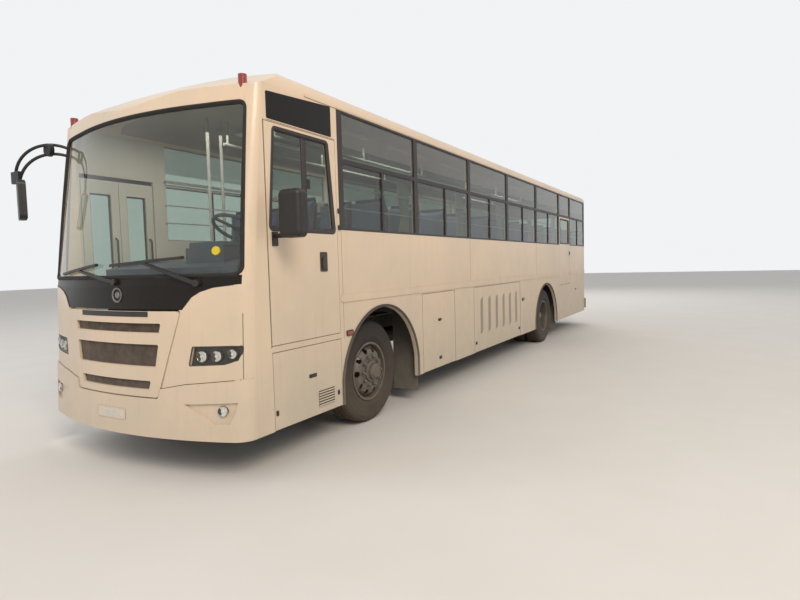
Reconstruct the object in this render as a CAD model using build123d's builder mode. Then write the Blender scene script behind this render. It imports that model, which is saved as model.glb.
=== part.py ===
from build123d import *
from math import atan2, cos, radians, sin, sqrt
import os

# Front-engined coach bus, in millimetres.
# Front faces -Y, the driver's side is +X, the ground is z = 0,
# and the origin lies on the ground under the middle of the bus.

# Body size
HALF_WIDTH = 1250.0
SKIRT_Z = 330.0
CROWN_Z = 3250.0
REAR_Y = 6000.0
SIDE_FRONT_Y = -5592.0
WALL = 45.0
GAP = 6.0

# Roof section across the bus
CORNER_R = 160.0
CORNER_Z = 3035.0
CROWN_R = 10988.0

# Roof profile along the bus: a long arc over the driver, then a tight arc
BROW_START_Y = -5100.0
BROW_R = 1200.0
BROW_ANGLE = 38.0
LIP_R = 70.0
TAIL_R = 250.0
DOME_START = 6400.0
DOME_Z = 2769.0
DOME_DROP = 124.0
DOME_RISE = 25.0
REAR_CORNER_R = 150.0

# Plan of the front at three heights, as
# (height, centre y, shoulder y, corner y, flank y); x of shoulder and corner below.
# The flank is where the rounded corner meets the side.
SHOULDER_X = 800.0
CORNER_X = 1150.0
SHOULDER_BULGE = 6.0
CORNER_BULGE = 22.0
FRONT_PLANS = [
    (SKIRT_Z, -6135.0, -6033.0, -5923.0, -5800.0),
    (1500.0, -6090.0, -5984.0, -5872.0, -5750.0),
    (CROWN_Z, -5820.0, -5715.0, -5625.0, -5575.0),
]

# Wheels
TYRE_R = 525.0
TYRE_WIDTH = 280.0
RIM_R = 286.0
WHEEL_Z = TYRE_R
FRONT_AXLE_Y = -4020.0
REAR_AXLE_Y = 2230.0
FRONT_WHEEL_X = 1000.0
REAR_OUTER_X = 1080.0
REAR_INNER_X = 760.0
KINGPIN_X = 830.0
RUNNING_FIT = 0.4

# Floor and frame
FLOOR_TOP = 1270.0
FLOOR_UNDER = 1220.0
RAIL_INNER = 360.0
RAIL_OUTER = 430.0
RAIL_LOW = 800.0
RAIL_TOP = 1050.0
RAIL_FRONT_Y = -5800.0
RAIL_REAR_Y = 5850.0

# Side windows: pillar centres from front to rear, and the heights
PILLARS = [-4610.0, -3140.0, -1580.0, 10.0, 1650.0, 3330.0, 4330.0, 5860.0]
ESCAPE_BAY = 5
PILLAR_WIDTH = 70.0
GLASS_LOW = 1970.0
RAIL_Z = (2560.0, 2603.0)
BAND_TOP = 3025.0
BAND_LOW = 1950.0
FRAME_SKIN = 14.0
PANE = 6.0

# Openings in the left wall, as (front y, rear y, low z, top z)
DRIVER_DOORWAY = (SIDE_FRONT_Y, -4679.0, 1003.0, 2751.0)
SERVICE_HATCH = (SIDE_FRONT_Y, -4679.0, SKIRT_Z, 955.0)
BATTERY_HATCH = (-3050.0, -2130.0, SKIRT_Z, 1268.0)
LOUVRE_HATCH = (-1475.0, 620.0, SKIRT_Z, 1268.0)
ESCAPE_DOORWAY = (3365.0, 4295.0, 1080.0, 2560.0)
# Openings in the right wall
ENTRY_DOORWAY = (-5570.0, -4742.0, 400.0, 2600.0)
LOCKER_HATCH = (-2700.0, -1300.0, SKIRT_Z, 1268.0)

# Wheel arches, as (axle y of the arch, half width, spring height, top)
FRONT_ARCH = (-3922.0, 731.0, 560.0, 1188.0)
REAR_ARCH = (2322.0, 768.0, 480.0, 1147.0)

# Windscreen and the panels under it, as half widths and heights
SCREEN_LOW = (1205.0, 1575.0)
SCREEN_TOP = (1162.0, 2885.0)
SCREEN_CORNER_R = 90.0
GLASS_DEPTH = (10.0, 16.0)
# Sheets of the front are made this much taller than their outline, which then trims them
TRIM = 20.0
MASK_EDGE = [(0.0, 1318.0), (738.0, 1318.0), (825.0, 1415.0), (897.0, 1455.0), (1000.0, 1485.0), (1205.0, 1507.0)]
GRILLE_TOP = (728.0, 1308.0)
GRILLE_LOW = (512.0, 640.0)
GRILLE_CORNER_R = 28.0
GRILLE_GAP = 9.0
GRILLE_TOP_GAP = 14.0
# Mesh windows of the grille, as (top z, top half width, low z, low half width)
MESH_WINDOWS = [
    (1214.0, 552.0, 1143.0, 535.0),
    (1050.0, 527.0, 879.0, 497.0),
    (766.0, 448.0, 700.0, 428.0),
]
BUMPER_EDGE = [(0.0, 690.0), (525.0, 706.0), (759.0, 750.0), (1300.0, 803.0)]

# Lamps on the front, as (x, z)
HEADLAMP_OUTLINE = [(824.0, 1041.0), (1212.0, 1050.0), (1210.0, 1000.0), (1180.0, 938.0), (1080.0, 908.0), (792.0, 893.0)]
HEADLAMPS = [(896.0, 966.0, 48.0), (1014.0, 970.0, 46.0), (1135.0, 987.0, 40.0)]
FOG_OUTLINE = [(760.0, 604.0), (1185.0, 627.0), (1165.0, 545.0), (1122.0, 464.0), (990.0, 463.0), (940.0, 500.0)]
FOG_LAMP = (1067.0, 560.0, 36.0)
FOG_POCKET = 6.0

os.makedirs("parts", exist_ok=True)


def between(x_low, x_high, y_low, y_high, mode=Mode.ADD):
    """Rectangle in a sketch, given by its limits."""
    with Locations(((x_low + x_high) / 2, (y_low + y_high) / 2)):
        Rectangle(x_high - x_low, y_high - y_low, mode=mode)


def block(x, y, z, mode=Mode.ADD):
    """Box given by its limits along each axis."""
    centre = [(low + high) / 2 for low, high in (x, y, z)]
    with Locations(tuple(centre)):
        Box(x[1] - x[0], y[1] - y[0], z[1] - z[0], mode=mode)


def mirrored(points):
    """Outline across the centreline: the points, then their mirror images."""
    return points + [(-x, z) for x, z in reversed(points) if x > 0.5]


def outward_arc(start, end, rise):
    """Arc between two points of the front's plan, bulging outwards by the rise."""
    run = (end[0] - start[0], end[1] - start[1])
    length = sqrt(run[0] ** 2 + run[1] ** 2)
    middle = ((start[0] + end[0]) / 2, (start[1] + end[1]) / 2)
    side = 1.0 if start[0] + end[0] > 0 else -1.0
    bulge = (
        middle[0] + side * rise * abs(run[1]) / length,
        middle[1] - rise * abs(run[0]) / length,
    )
    ThreePointArc(start, bulge, end)


def front_points(plan, inset, forward):
    """Centre, shoulder, corner and flank of the front at one height, moved in by the inset."""
    centre_y, shoulder_y, corner_y, flank_y = plan
    rise = inset - forward
    centre = (0, centre_y + rise)
    shoulder = (SHOULDER_X - 0.27 * inset, shoulder_y + rise)
    corner = (CORNER_X - 0.4 * inset, corner_y + rise)
    flank = (HALF_WIDTH - inset, flank_y - forward)
    return centre, shoulder, corner, flank


def flipped(point):
    """The same point on the other side of the centreline."""
    return (-point[0], point[1])


def front_edge(points):
    """Front of a plan outline, from the right flank to the left one."""
    centre, shoulder, corner, flank = points
    outward_arc(flipped(flank), flipped(corner), CORNER_BULGE)
    outward_arc(flipped(corner), flipped(shoulder), SHOULDER_BULGE)
    ThreePointArc(flipped(shoulder), centre, shoulder)
    outward_arc(shoulder, corner, SHOULDER_BULGE)
    outward_arc(corner, flank, CORNER_BULGE)


def plan_outline(plan, inset, forward):
    """Closed outline of the body seen from above, moved in by the inset."""
    half = HALF_WIDTH - inset
    rear = REAR_Y - inset
    radius = REAR_CORNER_R - inset
    points = front_points(plan, inset, forward)
    flank = points[3]
    with BuildLine() as outline:
        front_edge(points)
        Line(flank, (half, rear - radius))
        ThreePointArc(
            (half, rear - radius),
            (half - radius + radius * cos(radians(45)), rear - radius + radius * sin(radians(45))),
            (half - radius, rear),
        )
        Line((half - radius, rear), (radius - half, rear))
        ThreePointArc(
            (radius - half, rear),
            (radius - half - radius * cos(radians(45)), rear - radius + radius * sin(radians(45))),
            (-half, rear - radius),
        )
        Line((-half, rear - radius), flipped(flank))
    make_face(outline.edges())


def body_form(inset, forward=0.0):
    """Solid envelope of the body, moved in all round by the inset."""
    base = SKIRT_Z - 5.0 * max(inset, 0.0)
    brow_r = BROW_R - inset
    lip_r = LIP_R - inset
    tail_r = TAIL_R - inset
    brow_z = CROWN_Z - BROW_R
    turn = radians(BROW_ANGLE)
    brow_end = (BROW_START_Y - BROW_R * sin(turn), brow_z + BROW_R * cos(turn))
    lip = (brow_end[0] + LIP_R * sin(turn), brow_end[1] - LIP_R * cos(turn))
    half_turn = radians((90.0 + BROW_ANGLE) / 2)
    tail = (REAR_Y - TAIL_R, CROWN_Z - TAIL_R)
    corner = (HALF_WIDTH - CORNER_R, CORNER_Z)
    corner_r = CORNER_R - inset
    crown_centre = CROWN_Z - CROWN_R
    lean = atan2(corner[0], corner[1] - crown_centre)
    crown_end = (corner[0] + corner_r * sin(lean), corner[1] + corner_r * cos(lean))
    mid_lean = (lean + radians(90)) / 2
    corner_mid = (corner[0] + corner_r * sin(mid_lean), corner[1] + corner_r * cos(mid_lean))
    with BuildPart() as form:
        lowest = [(base, *FRONT_PLANS[0][1:])] if base < SKIRT_Z else []
        for height, *plan in lowest + FRONT_PLANS:
            with BuildSketch(Plane.XY.offset(height)):
                plan_outline(plan, inset, forward)
        loft(ruled=True)
        with BuildSketch(Plane.YZ):
            with BuildLine():
                Polyline((-6400, lip[1]), (-6400, base - 10), (6400, base - 10), (6400, tail[1]), (REAR_Y - inset, tail[1]))
                ThreePointArc(
                    (REAR_Y - inset, tail[1]),
                    (tail[0] + tail_r * sin(radians(45)), tail[1] + tail_r * cos(radians(45))),
                    (tail[0], CROWN_Z - inset),
                )
                Line((tail[0], CROWN_Z - inset), (BROW_START_Y, CROWN_Z - inset))
                ThreePointArc(
                    (BROW_START_Y, CROWN_Z - inset),
                    (BROW_START_Y - brow_r * sin(turn / 2), brow_z + brow_r * cos(turn / 2)),
                    (BROW_START_Y - brow_r * sin(turn), brow_z + brow_r * cos(turn)),
                )
                ThreePointArc(
                    (BROW_START_Y - brow_r * sin(turn), brow_z + brow_r * cos(turn)),
                    (lip[0] - lip_r * sin(half_turn), lip[1] + lip_r * cos(half_turn)),
                    (lip[0] - lip_r, lip[1]),
                )
                Line((lip[0] - lip_r, lip[1]), (-6400, lip[1]))
            make_face()
        extrude(amount=1500, both=True, mode=Mode.INTERSECT)
        with BuildSketch(Plane.XZ):
            with BuildLine():
                Polyline(
                    (-HALF_WIDTH + inset, CORNER_Z),
                    (-HALF_WIDTH + inset, base - 10),
                    (HALF_WIDTH - inset, base - 10),
                    (HALF_WIDTH - inset, CORNER_Z),
                )
                ThreePointArc((HALF_WIDTH - inset, CORNER_Z), corner_mid, crown_end)
                ThreePointArc(crown_end, (0, CROWN_Z - inset), (-crown_end[0], crown_end[1]))
                ThreePointArc(
                    (-crown_end[0], crown_end[1]), (-corner_mid[0], corner_mid[1]), (-HALF_WIDTH + inset, CORNER_Z)
                )
            make_face()
        extrude(amount=6500, both=True, mode=Mode.INTERSECT)
        # seen from the front the roof's edge is an arc that sinks towards both corners
        middle_z = DOME_Z - inset
        with BuildSketch(Plane.XZ.offset(DOME_START)):
            with BuildLine():
                ThreePointArc((-1300, middle_z - DOME_DROP), (0, middle_z), (1300, middle_z - DOME_DROP))
                Polyline(
                    (1300, middle_z - DOME_DROP), (1300, -9000), (-1300, -9000), (-1300, middle_z - DOME_DROP)
                )
            make_face()
        extrude(amount=14500, dir=(0, cos(radians(DOME_RISE)), sin(radians(DOME_RISE))), mode=Mode.INTERSECT)
    return form.part


outer_form = body_form(0.0)
inner_form = body_form(WALL)
shell = outer_form - inner_form


def plan_at(height):
    """Centre, shoulder, corner and flank y of the front at a height, between the plans given."""
    for low, high in zip(FRONT_PLANS, FRONT_PLANS[1:]):
        if height <= high[0]:
            break
    share = max((height - low[0]) / (high[0] - low[0]), 0.0)
    return [start + share * (end - start) for start, end in zip(low[1:], high[1:])]


def front_solid(low, top, inset, forward=0.0, back_y=SIDE_FRONT_Y):
    """Solid of the bus in front of the doors, between two heights."""
    heights = [low] + [plan[0] for plan in FRONT_PLANS if low < plan[0] < top] + [top]
    with BuildPart() as solid:
        for height in heights:
            points = front_points(plan_at(height), inset, forward)
            flank = points[3]
            with BuildSketch(Plane.XY.offset(height)):
                with BuildLine() as outline:
                    front_edge(points)
                    Polyline(flank, (flank[0], back_y), (-flank[0], back_y), flipped(flank))
                make_face(outline.edges())
        loft(ruled=True)
    return solid.part


def front_skin(low, top, outer, inner, forward=0.0):
    """Curved sheet of the front between two heights and two insets."""
    core = front_solid(low - 10, top + 10, inner, back_y=SIDE_FRONT_Y + 100)
    return front_solid(low, top, outer, forward) - core


def front_prism(points, corner_r=0.0):
    """Prism along Y through the front, with its outline drawn in x and z."""
    with BuildPart() as prism:
        with BuildSketch(Plane.XZ.offset(5000)):
            Polygon(*points, align=None)
            if corner_r:
                fillet(vertices(), corner_r)
        extrude(amount=1500)
    return prism.part


def arch_sketch(arch, grow=0.0):
    """Outline of a wheel arch in y and z."""
    middle, half, spring, top = arch
    with BuildLine() as outline:
        Line((middle - half - grow, 0), (middle - half - grow, spring))
        ThreePointArc((middle - half - grow, spring), (middle, top + grow), (middle + half + grow, spring))
        Line((middle + half + grow, spring), (middle + half + grow, 0))
        Line((middle + half + grow, 0), (middle - half - grow, 0))
    make_face(outline.edges())


screen_outline = [
    (SCREEN_LOW[0], SCREEN_LOW[1]),
    (SCREEN_TOP[0], SCREEN_TOP[1]),
    (-SCREEN_TOP[0], SCREEN_TOP[1]),
    (-SCREEN_LOW[0], SCREEN_LOW[1]),
]
screen_prism = front_prism(screen_outline, 60.0)
mask_prism = front_prism(
    MASK_EDGE + [SCREEN_LOW, (-SCREEN_LOW[0], SCREEN_LOW[1])] + [flipped(point) for point in reversed(MASK_EDGE[1:])]
)
grille_outline = [GRILLE_TOP, (-GRILLE_TOP[0], GRILLE_TOP[1]), (-GRILLE_LOW[0], GRILLE_LOW[1]), GRILLE_LOW]
grille_prism = front_prism(grille_outline, GRILLE_CORNER_R)
grille_gap_outline = [
    (GRILLE_TOP[0] + GRILLE_GAP, GRILLE_TOP[1] + GRILLE_TOP_GAP),
    (-GRILLE_TOP[0] - GRILLE_GAP, GRILLE_TOP[1] + GRILLE_TOP_GAP),
    (-GRILLE_LOW[0] - GRILLE_GAP, GRILLE_LOW[1] - GRILLE_GAP),
    (GRILLE_LOW[0] + GRILLE_GAP, GRILLE_LOW[1] - GRILLE_GAP),
]
grille_gap_prism = front_prism(grille_gap_outline, GRILLE_CORNER_R)
bumper_outline = (
    [(-1300.0, 200.0), (1300.0, 200.0)] + list(reversed(BUMPER_EDGE)) + [(-x, z) for x, z in BUMPER_EDGE if x > 0.5]
)
bumper_prism = front_prism(bumper_outline)


def lamp_prism(outline, side):
    """Prism of one lamp opening on the given side."""
    return front_prism([(side * x, z) for x, z in outline])


# Front cap: pillars, brow and the panels round the grille, in one moulding
with BuildPart() as front_cap:
    add(shell)
    with BuildSketch(Plane.YZ):
        between(-6300, SIDE_FRONT_Y, 0, 3400)
        between(-6300, BROW_START_Y, CORNER_Z, 3400)
    extrude(amount=1500, both=True, mode=Mode.INTERSECT)
    add(screen_prism, mode=Mode.SUBTRACT)
    add(mask_prism, mode=Mode.SUBTRACT)
    add(grille_gap_prism, mode=Mode.SUBTRACT)
    add(bumper_prism, mode=Mode.SUBTRACT)
    for side in (1, -1):
        add(lamp_prism(HEADLAMP_OUTLINE, side), mode=Mode.SUBTRACT)
front_cap.part.label = "front_cap"
export_step(front_cap.part, "parts/front_cap.step")

# Windscreen, one bent pane
with BuildPart() as windscreen:
    add(front_skin(SCREEN_LOW[1] - TRIM, SCREEN_TOP[1] + TRIM, *GLASS_DEPTH))
    add(screen_prism, mode=Mode.INTERSECT)
windscreen.part.label = "windscreen"
export_step(windscreen.part, "parts/windscreen.step")

# Black panel between windscreen and grille
with BuildPart() as mask_panel:
    add(front_skin(MASK_EDGE[0][1], SCREEN_LOW[1], 3.0, 25.0))
    add(mask_prism, mode=Mode.INTERSECT)
    add(grille_gap_prism, mode=Mode.SUBTRACT)
mask_panel.part.label = "mask_panel"
export_step(mask_panel.part, "parts/mask_panel.step")

# Front bumper, proud of the panel above it
with BuildPart() as front_bumper:
    add(front_skin(SKIRT_Z, 805.0, 0.0, WALL, forward=14.0))
    add(bumper_prism, mode=Mode.INTERSECT)
    add(grille_gap_prism, mode=Mode.SUBTRACT)
    pocket = front_skin(450.0, 640.0, -5.0, FOG_POCKET, forward=14.0)
    for side in (1, -1):
        add(pocket & lamp_prism(FOG_OUTLINE, side), mode=Mode.SUBTRACT)
front_bumper.part.label = "front_bumper"
export_step(front_bumper.part, "parts/front_bumper.step")


def mesh_window(top_z, top_half, low_z, low_half):
    """Prism through one window of the grille."""
    outline = [(top_half, top_z), (-top_half, top_z), (-low_half, low_z), (low_half, low_z)]
    return front_prism(outline, 12.0)


# Grille panel, hinged along its top edge, with three windows
with BuildPart() as grille_panel:
    add(front_skin(GRILLE_LOW[1] - TRIM, GRILLE_TOP[1] + TRIM, 0.0, 28.0, forward=5.0))
    add(grille_prism, mode=Mode.INTERSECT)
    for window in MESH_WINDOWS:
        add(mesh_window(*window), mode=Mode.SUBTRACT)
grille_panel.part.label = "grille_panel"
export_step(grille_panel.part, "parts/grille_panel.step")

# Mesh of the grille: a punched sheet in each window
MESH_HOLE = (62.0, 24.0)
MESH_PITCH = (70.0, 30.0)
with BuildPart() as grille_mesh:
    for window in MESH_WINDOWS:
        sheet = front_skin(window[2], window[0], 16.0, 22.0)
        add(sheet & mesh_window(*window))
    with BuildSketch(Plane.XZ.offset(5500)):
        for top_z, top_half, low_z, low_half in MESH_WINDOWS:
            rows = int((top_z - low_z - 8) // MESH_PITCH[1])
            columns = int((2 * low_half - 20) // MESH_PITCH[0])
            with Locations((0, (top_z + low_z) / 2)):
                with GridLocations(MESH_PITCH[0], MESH_PITCH[1], columns, rows):
                    Rectangle(*MESH_HOLE)
    extrude(amount=800, mode=Mode.SUBTRACT)
grille_mesh.part.label = "grille_mesh"
export_step(grille_mesh.part, "parts/grille_mesh.step")

# Headlamp units and fog lamps: a tray behind each opening, with round lamps standing in it
TRAY_DEPTH = (26.0, 40.0)
LENS_DEPTH = 8.0
lamp_heights = [z for x, z in HEADLAMP_OUTLINE]
tray = front_skin(min(lamp_heights), max(lamp_heights), *TRAY_DEPTH)
lens_skin = front_skin(min(lamp_heights), max(lamp_heights), LENS_DEPTH, TRAY_DEPTH[0])
fog_skin = front_skin(450.0, 640.0, 4.0, FOG_POCKET, forward=14.0)
with BuildPart() as front_lamps:
    for side in (1, -1):
        add(tray & lamp_prism(HEADLAMP_OUTLINE, side))
        for lamps, skin in ((HEADLAMPS, lens_skin), ([FOG_LAMP], fog_skin)):
            with BuildPart(mode=Mode.PRIVATE) as posts:
                with BuildSketch(Plane.XZ.offset(5400)):
                    for x, z, radius in lamps:
                        with Locations((side * x, z)):
                            Circle(radius)
                extrude(amount=900)
            add(skin & posts.part)
front_lamps.part.label = "front_lamps"
export_step(front_lamps.part, "parts/front_lamps.step")

# Wipers: two arms with their blades, parked low on the glass, as
# (pivot x, pivot z, blade start x, blade start z, blade end x, blade end z)
WIPERS = [
    (880.0, 1520.0, 0.0, 1672.0, 745.0, 1715.0),
    (60.0, 1540.0, -860.0, 1612.0, -200.0, 1681.0),
]
with BuildPart() as wipers:
    for pivot_x, pivot_z, x0, z0, x1, z1 in WIPERS:
        middle = ((x0 + x1) / 2, (z0 + z1) / 2)
        with BuildSketch(Plane.XZ.offset(5500)):
            with Locations((pivot_x, pivot_z)):
                Circle(26)
            Polygon(
                (pivot_x - 12, pivot_z - 12),
                (middle[0] - 30, middle[1] - 7),
                (middle[0] - 30, middle[1] + 9),
                (pivot_x + 12, pivot_z + 12),
                align=None,
            )
            Polygon((x0, z0 - 11), (x1, z1 - 11), (x1, z1 + 11), (x0, z0 + 11), align=None)
        extrude(amount=900)
    add(front_skin(1450.0, 1750.0, -26.0, -0.5), mode=Mode.INTERSECT)
wipers.part.label = "wipers"
export_step(wipers.part, "parts/wipers.step")

# Roof with its gutters; it ends where the brow begins
with BuildPart() as roof:
    add(shell)
    with BuildSketch(Plane.YZ):
        between(BROW_START_Y, 6400, CORNER_Z, 3400)
    extrude(amount=1500, both=True, mode=Mode.INTERSECT)
    for side in (1, -1):
        edges_x = sorted((side * (HALF_WIDTH - 12), side * (HALF_WIDTH + 8)))
        block(edges_x, (BROW_START_Y + 10, 5840), (CORNER_Z + 4, CORNER_Z + 22))
roof.part.label = "roof"
export_step(roof.part, "parts/roof.step")

# Roof hatches
HATCHES_Y = [-1800.0, 2400.0]
with BuildPart() as roof_hatches:
    for y in HATCHES_Y:
        block((-310, 310), (y - 310, y + 310), (3180, 3275))
    fillet(roof_hatches.edges().filter_by(Axis.Z), 40)
    fillet(roof_hatches.faces().sort_by(Axis.Z)[-2:].edges(), 18)
    add(outer_form, mode=Mode.SUBTRACT)
roof_hatches.part.label = "roof_hatches"
export_step(roof_hatches.part, "parts/roof_hatches.step")


def bays(side):
    """Front and rear y of each glazed bay; the bay of the escape door is left to that door."""
    for index in range(len(PILLARS) - 1):
        if side > 0 and index == ESCAPE_BAY:
            continue
        yield PILLARS[index] + PILLAR_WIDTH / 2, PILLARS[index + 1] - PILLAR_WIDTH / 2


def upper_bays():
    """Front and rear y of each pane of the upper glass band."""
    for start, end in zip(PILLARS, PILLARS[1:]):
        yield start + PILLAR_WIDTH / 2, end - PILLAR_WIDTH / 2


def side_plane(side, x):
    """Plane of a side at distance x from the centreline, drawn in y and z, its normal towards +X."""
    return Plane.YZ.offset(x if side > 0 else -x)


def side_wall(side, openings):
    """One side wall with its windows, doorways, hatches, arches and rub rail."""
    inner = HALF_WIDTH - WALL
    band = HALF_WIDTH - FRAME_SKIN + 2
    with BuildPart() as wall:
        with BuildSketch(side_plane(side, inner)):
            between(SIDE_FRONT_Y, 5850, SKIRT_Z, CORNER_Z)
            for y_low, y_high, z_low, z_high in openings:
                between(y_low, y_high, z_low, z_high, mode=Mode.SUBTRACT)
            for y_low, y_high in bays(side):
                between(y_low, y_high, GLASS_LOW - 8, RAIL_Z[0] + 8, mode=Mode.SUBTRACT)
            for y_low, y_high in upper_bays():
                between(y_low, y_high, RAIL_Z[1] - 8, BAND_TOP, mode=Mode.SUBTRACT)
        extrude(amount=side * WALL)
        with BuildSketch(side_plane(side, HALF_WIDTH)):
            between(FRONT_ARCH[0] - FRONT_ARCH[1], 5850, 1285, 1355)
            for y_low, y_high, z_low, z_high in openings:
                between(y_low, y_high, z_low, z_high, mode=Mode.SUBTRACT)
        extrude(amount=side * 10)
        with BuildSketch(side_plane(side, band)):
            between(PILLARS[0] - 35, PILLARS[-1] - 10, BAND_LOW, CORNER_Z)
        extrude(amount=side * 40, mode=Mode.SUBTRACT)
        for arch in (FRONT_ARCH, REAR_ARCH):
            with BuildSketch(Plane.YZ):
                arch_sketch(arch)
            extrude(amount=side * 1400, mode=Mode.SUBTRACT)
    return wall.part


left_side = side_wall(1, [DRIVER_DOORWAY, ESCAPE_DOORWAY, SERVICE_HATCH, BATTERY_HATCH, LOUVRE_HATCH])
left_side.label = "left_side"
export_step(left_side, "parts/left_side.step")
right_side = side_wall(-1, [ENTRY_DOORWAY, LOCKER_HATCH])
right_side.label = "right_side"
export_step(right_side, "parts/right_side.step")

# Black window frames: a flat skin over the pillars of each side, with a meeting stile in each bay
with BuildPart() as window_frames:
    for side in (1, -1):
        with BuildSketch(side_plane(side, HALF_WIDTH - FRAME_SKIN + 2)):
            between(PILLARS[0] - 35, PILLARS[-1] - 10, BAND_LOW, BAND_TOP + 10)
            for y_low, y_high in bays(side):
                middle = (y_low + y_high) / 2
                between(y_low + 8, middle - 14, GLASS_LOW, RAIL_Z[0], mode=Mode.SUBTRACT)
                between(middle + 14, y_high - 8, GLASS_LOW, RAIL_Z[0], mode=Mode.SUBTRACT)
            for y_low, y_high in upper_bays():
                between(y_low + 8, y_high - 8, RAIL_Z[1], BAND_TOP - 8, mode=Mode.SUBTRACT)
            if side > 0:
                between(ESCAPE_DOORWAY[0], ESCAPE_DOORWAY[1], 1000, ESCAPE_DOORWAY[3], mode=Mode.SUBTRACT)
        extrude(amount=side * FRAME_SKIN)
window_frames.part.label = "window_frames"
export_step(window_frames.part, "parts/window_frames.step")

# Panes of the two sides and the rear window, seated behind the frames
REAR_WINDOW = (930.0, 1975.0, 2760.0)
with BuildPart() as window_glass:
    for side in (1, -1):
        with BuildSketch(side_plane(side, HALF_WIDTH - FRAME_SKIN + 2 - PANE)):
            for y_low, y_high in bays(side):
                between(y_low + 2, y_high - 2, GLASS_LOW - 6, RAIL_Z[0] + 6)
            for y_low, y_high in upper_bays():
                between(y_low + 2, y_high - 2, RAIL_Z[1] - 6, BAND_TOP - 2)
        extrude(amount=side * PANE)
    block((-REAR_WINDOW[0], REAR_WINDOW[0]), (REAR_Y - 20, REAR_Y - 14), REAR_WINDOW[1:])
window_glass.part.label = "window_glass"
export_step(window_glass.part, "parts/window_glass.step")

# Rear wall with its window
with BuildPart() as rear_wall:
    add(shell)
    block((-1300, 1300), (5850, 6100), (SKIRT_Z, CORNER_Z), mode=Mode.INTERSECT)
    block((-REAR_WINDOW[0], REAR_WINDOW[0]), (5800, 6100), REAR_WINDOW[1:], mode=Mode.SUBTRACT)
rear_wall.part.label = "rear_wall"
export_step(rear_wall.part, "parts/rear_wall.step")

# Rear bumper, wrapped round the corners
with BuildPart() as rear_bumper:
    add(body_form(-40.0))
    add(outer_form, mode=Mode.SUBTRACT)
    block((-1400, 1400), (5860, 6200), (400, 640), mode=Mode.INTERSECT)
rear_bumper.part.label = "rear_bumper"
export_step(rear_bumper.part, "parts/rear_bumper.step")

# Tail lamps: three lamps in a tray on each side
TAIL_LAMP_X = (1000.0, 1090.0)
with BuildPart() as tail_lamps:
    for side in (1, -1):
        x = TAIL_LAMP_X if side > 0 else (-TAIL_LAMP_X[1], -TAIL_LAMP_X[0])
        block(x, (REAR_Y, REAR_Y + 18), (860, 1250))
        for z in (920.0, 1055.0, 1190.0):
            with BuildSketch(Plane.XZ.offset(-(REAR_Y + 18))):
                with Locations(((x[0] + x[1]) / 2, z)):
                    Circle(38)
            extrude(amount=-14)
tail_lamps.part.label = "tail_lamps"
export_step(tail_lamps.part, "parts/tail_lamps.step")

# Marker lamps: two domes at the roof's front corners, two small blocks low on each side
SIDE_MARKERS = [(-4540.0, 990.0), (775.0, 951.0)]
with BuildPart() as marker_lamps:
    for side in (1, -1):
        with Locations((side * 1107.0, -5640.0, 3040.0)):
            Cylinder(34, 110, align=(Align.CENTER, Align.CENTER, Align.CENTER))
        for y, z in SIDE_MARKERS:
            x = (HALF_WIDTH, HALF_WIDTH + 12) if side > 0 else (-HALF_WIDTH - 12, -HALF_WIDTH)
            block(x, (y - 45, y + 45), (z - 18, z + 18))
    add(outer_form, mode=Mode.SUBTRACT)
marker_lamps.part.label = "marker_lamps"
export_step(marker_lamps.part, "parts/marker_lamps.step")

# Rubber lips of the wheel arches
with BuildPart() as arch_lips:
    for arch in (FRONT_ARCH, REAR_ARCH):
        for plane in (Plane.YZ.offset(HALF_WIDTH), Plane.YZ.offset(-HALF_WIDTH - 12)):
            with BuildSketch(plane):
                arch_sketch(arch, 26.0)
            extrude(amount=12)
    for arch in (FRONT_ARCH, REAR_ARCH):
        with BuildSketch(Plane.YZ):
            arch_sketch(arch)
        extrude(amount=1500, both=True, mode=Mode.SUBTRACT)
    block((-1400, 1400), (-6000, 6000), (SKIRT_Z, 1255), mode=Mode.INTERSECT)
    block((-1400, -1251), (-5000, 6000), (1284, 1400), mode=Mode.SUBTRACT)
arch_lips.part.label = "arch_lips"
export_step(arch_lips.part, "parts/arch_lips.step")

# Floor on its cross bearers, with the steps at the entry
STEP_WELL = (-1205.0, -450.0, -5572.0, -4742.0)
STEPS = [
    # inner x of the tread, height of the tread
    (-755.0, 400.0),
    (-600.0, 700.0),
    (-450.0, 985.0),
]
BEARERS_Y = [-5450.0, -4700.0, -3050.0, -2100.0, -1000.0, 100.0, 1200.0, 3300.0, 4400.0, 5500.0]
with BuildPart() as floor:
    block((-1205, 1205), (-5560, 5850), (FLOOR_UNDER, FLOOR_TOP))
    block((-1100, 1100), (5850, REAR_Y - WALL), (FLOOR_UNDER, FLOOR_TOP))
    block((STEP_WELL[0] - 5, STEP_WELL[1]), STEP_WELL[2:], (1000, 1400), mode=Mode.SUBTRACT)
    for y in BEARERS_Y:
        left_end = -1205 if y > -4742 else STEP_WELL[1]
        block((left_end, 1205), (y - 30, y + 30), (RAIL_TOP, FLOOR_UNDER))
floor.part.label = "floor"
export_step(floor.part, "parts/floor.step")

# Steps of the entry: treads and risers of folded sheet
STEP_SHEET = 25.0
with BuildPart() as entry_steps:
    tread_start = STEP_WELL[0]
    riser_low = STEPS[0][1]
    for inner_x, height in STEPS:
        block((tread_start, inner_x), STEP_WELL[2:], (height - STEP_SHEET, height))
        if height > riser_low:
            block((tread_start - STEP_SHEET, tread_start), STEP_WELL[2:], (riser_low - STEP_SHEET, height))
        riser_low = height
        tread_start = inner_x
    block((STEP_WELL[1] - STEP_SHEET, STEP_WELL[1]), STEP_WELL[2:], (riser_low - STEP_SHEET, FLOOR_TOP))
entry_steps.part.label = "entry_steps"
export_step(entry_steps.part, "parts/entry_steps.step")

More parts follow.
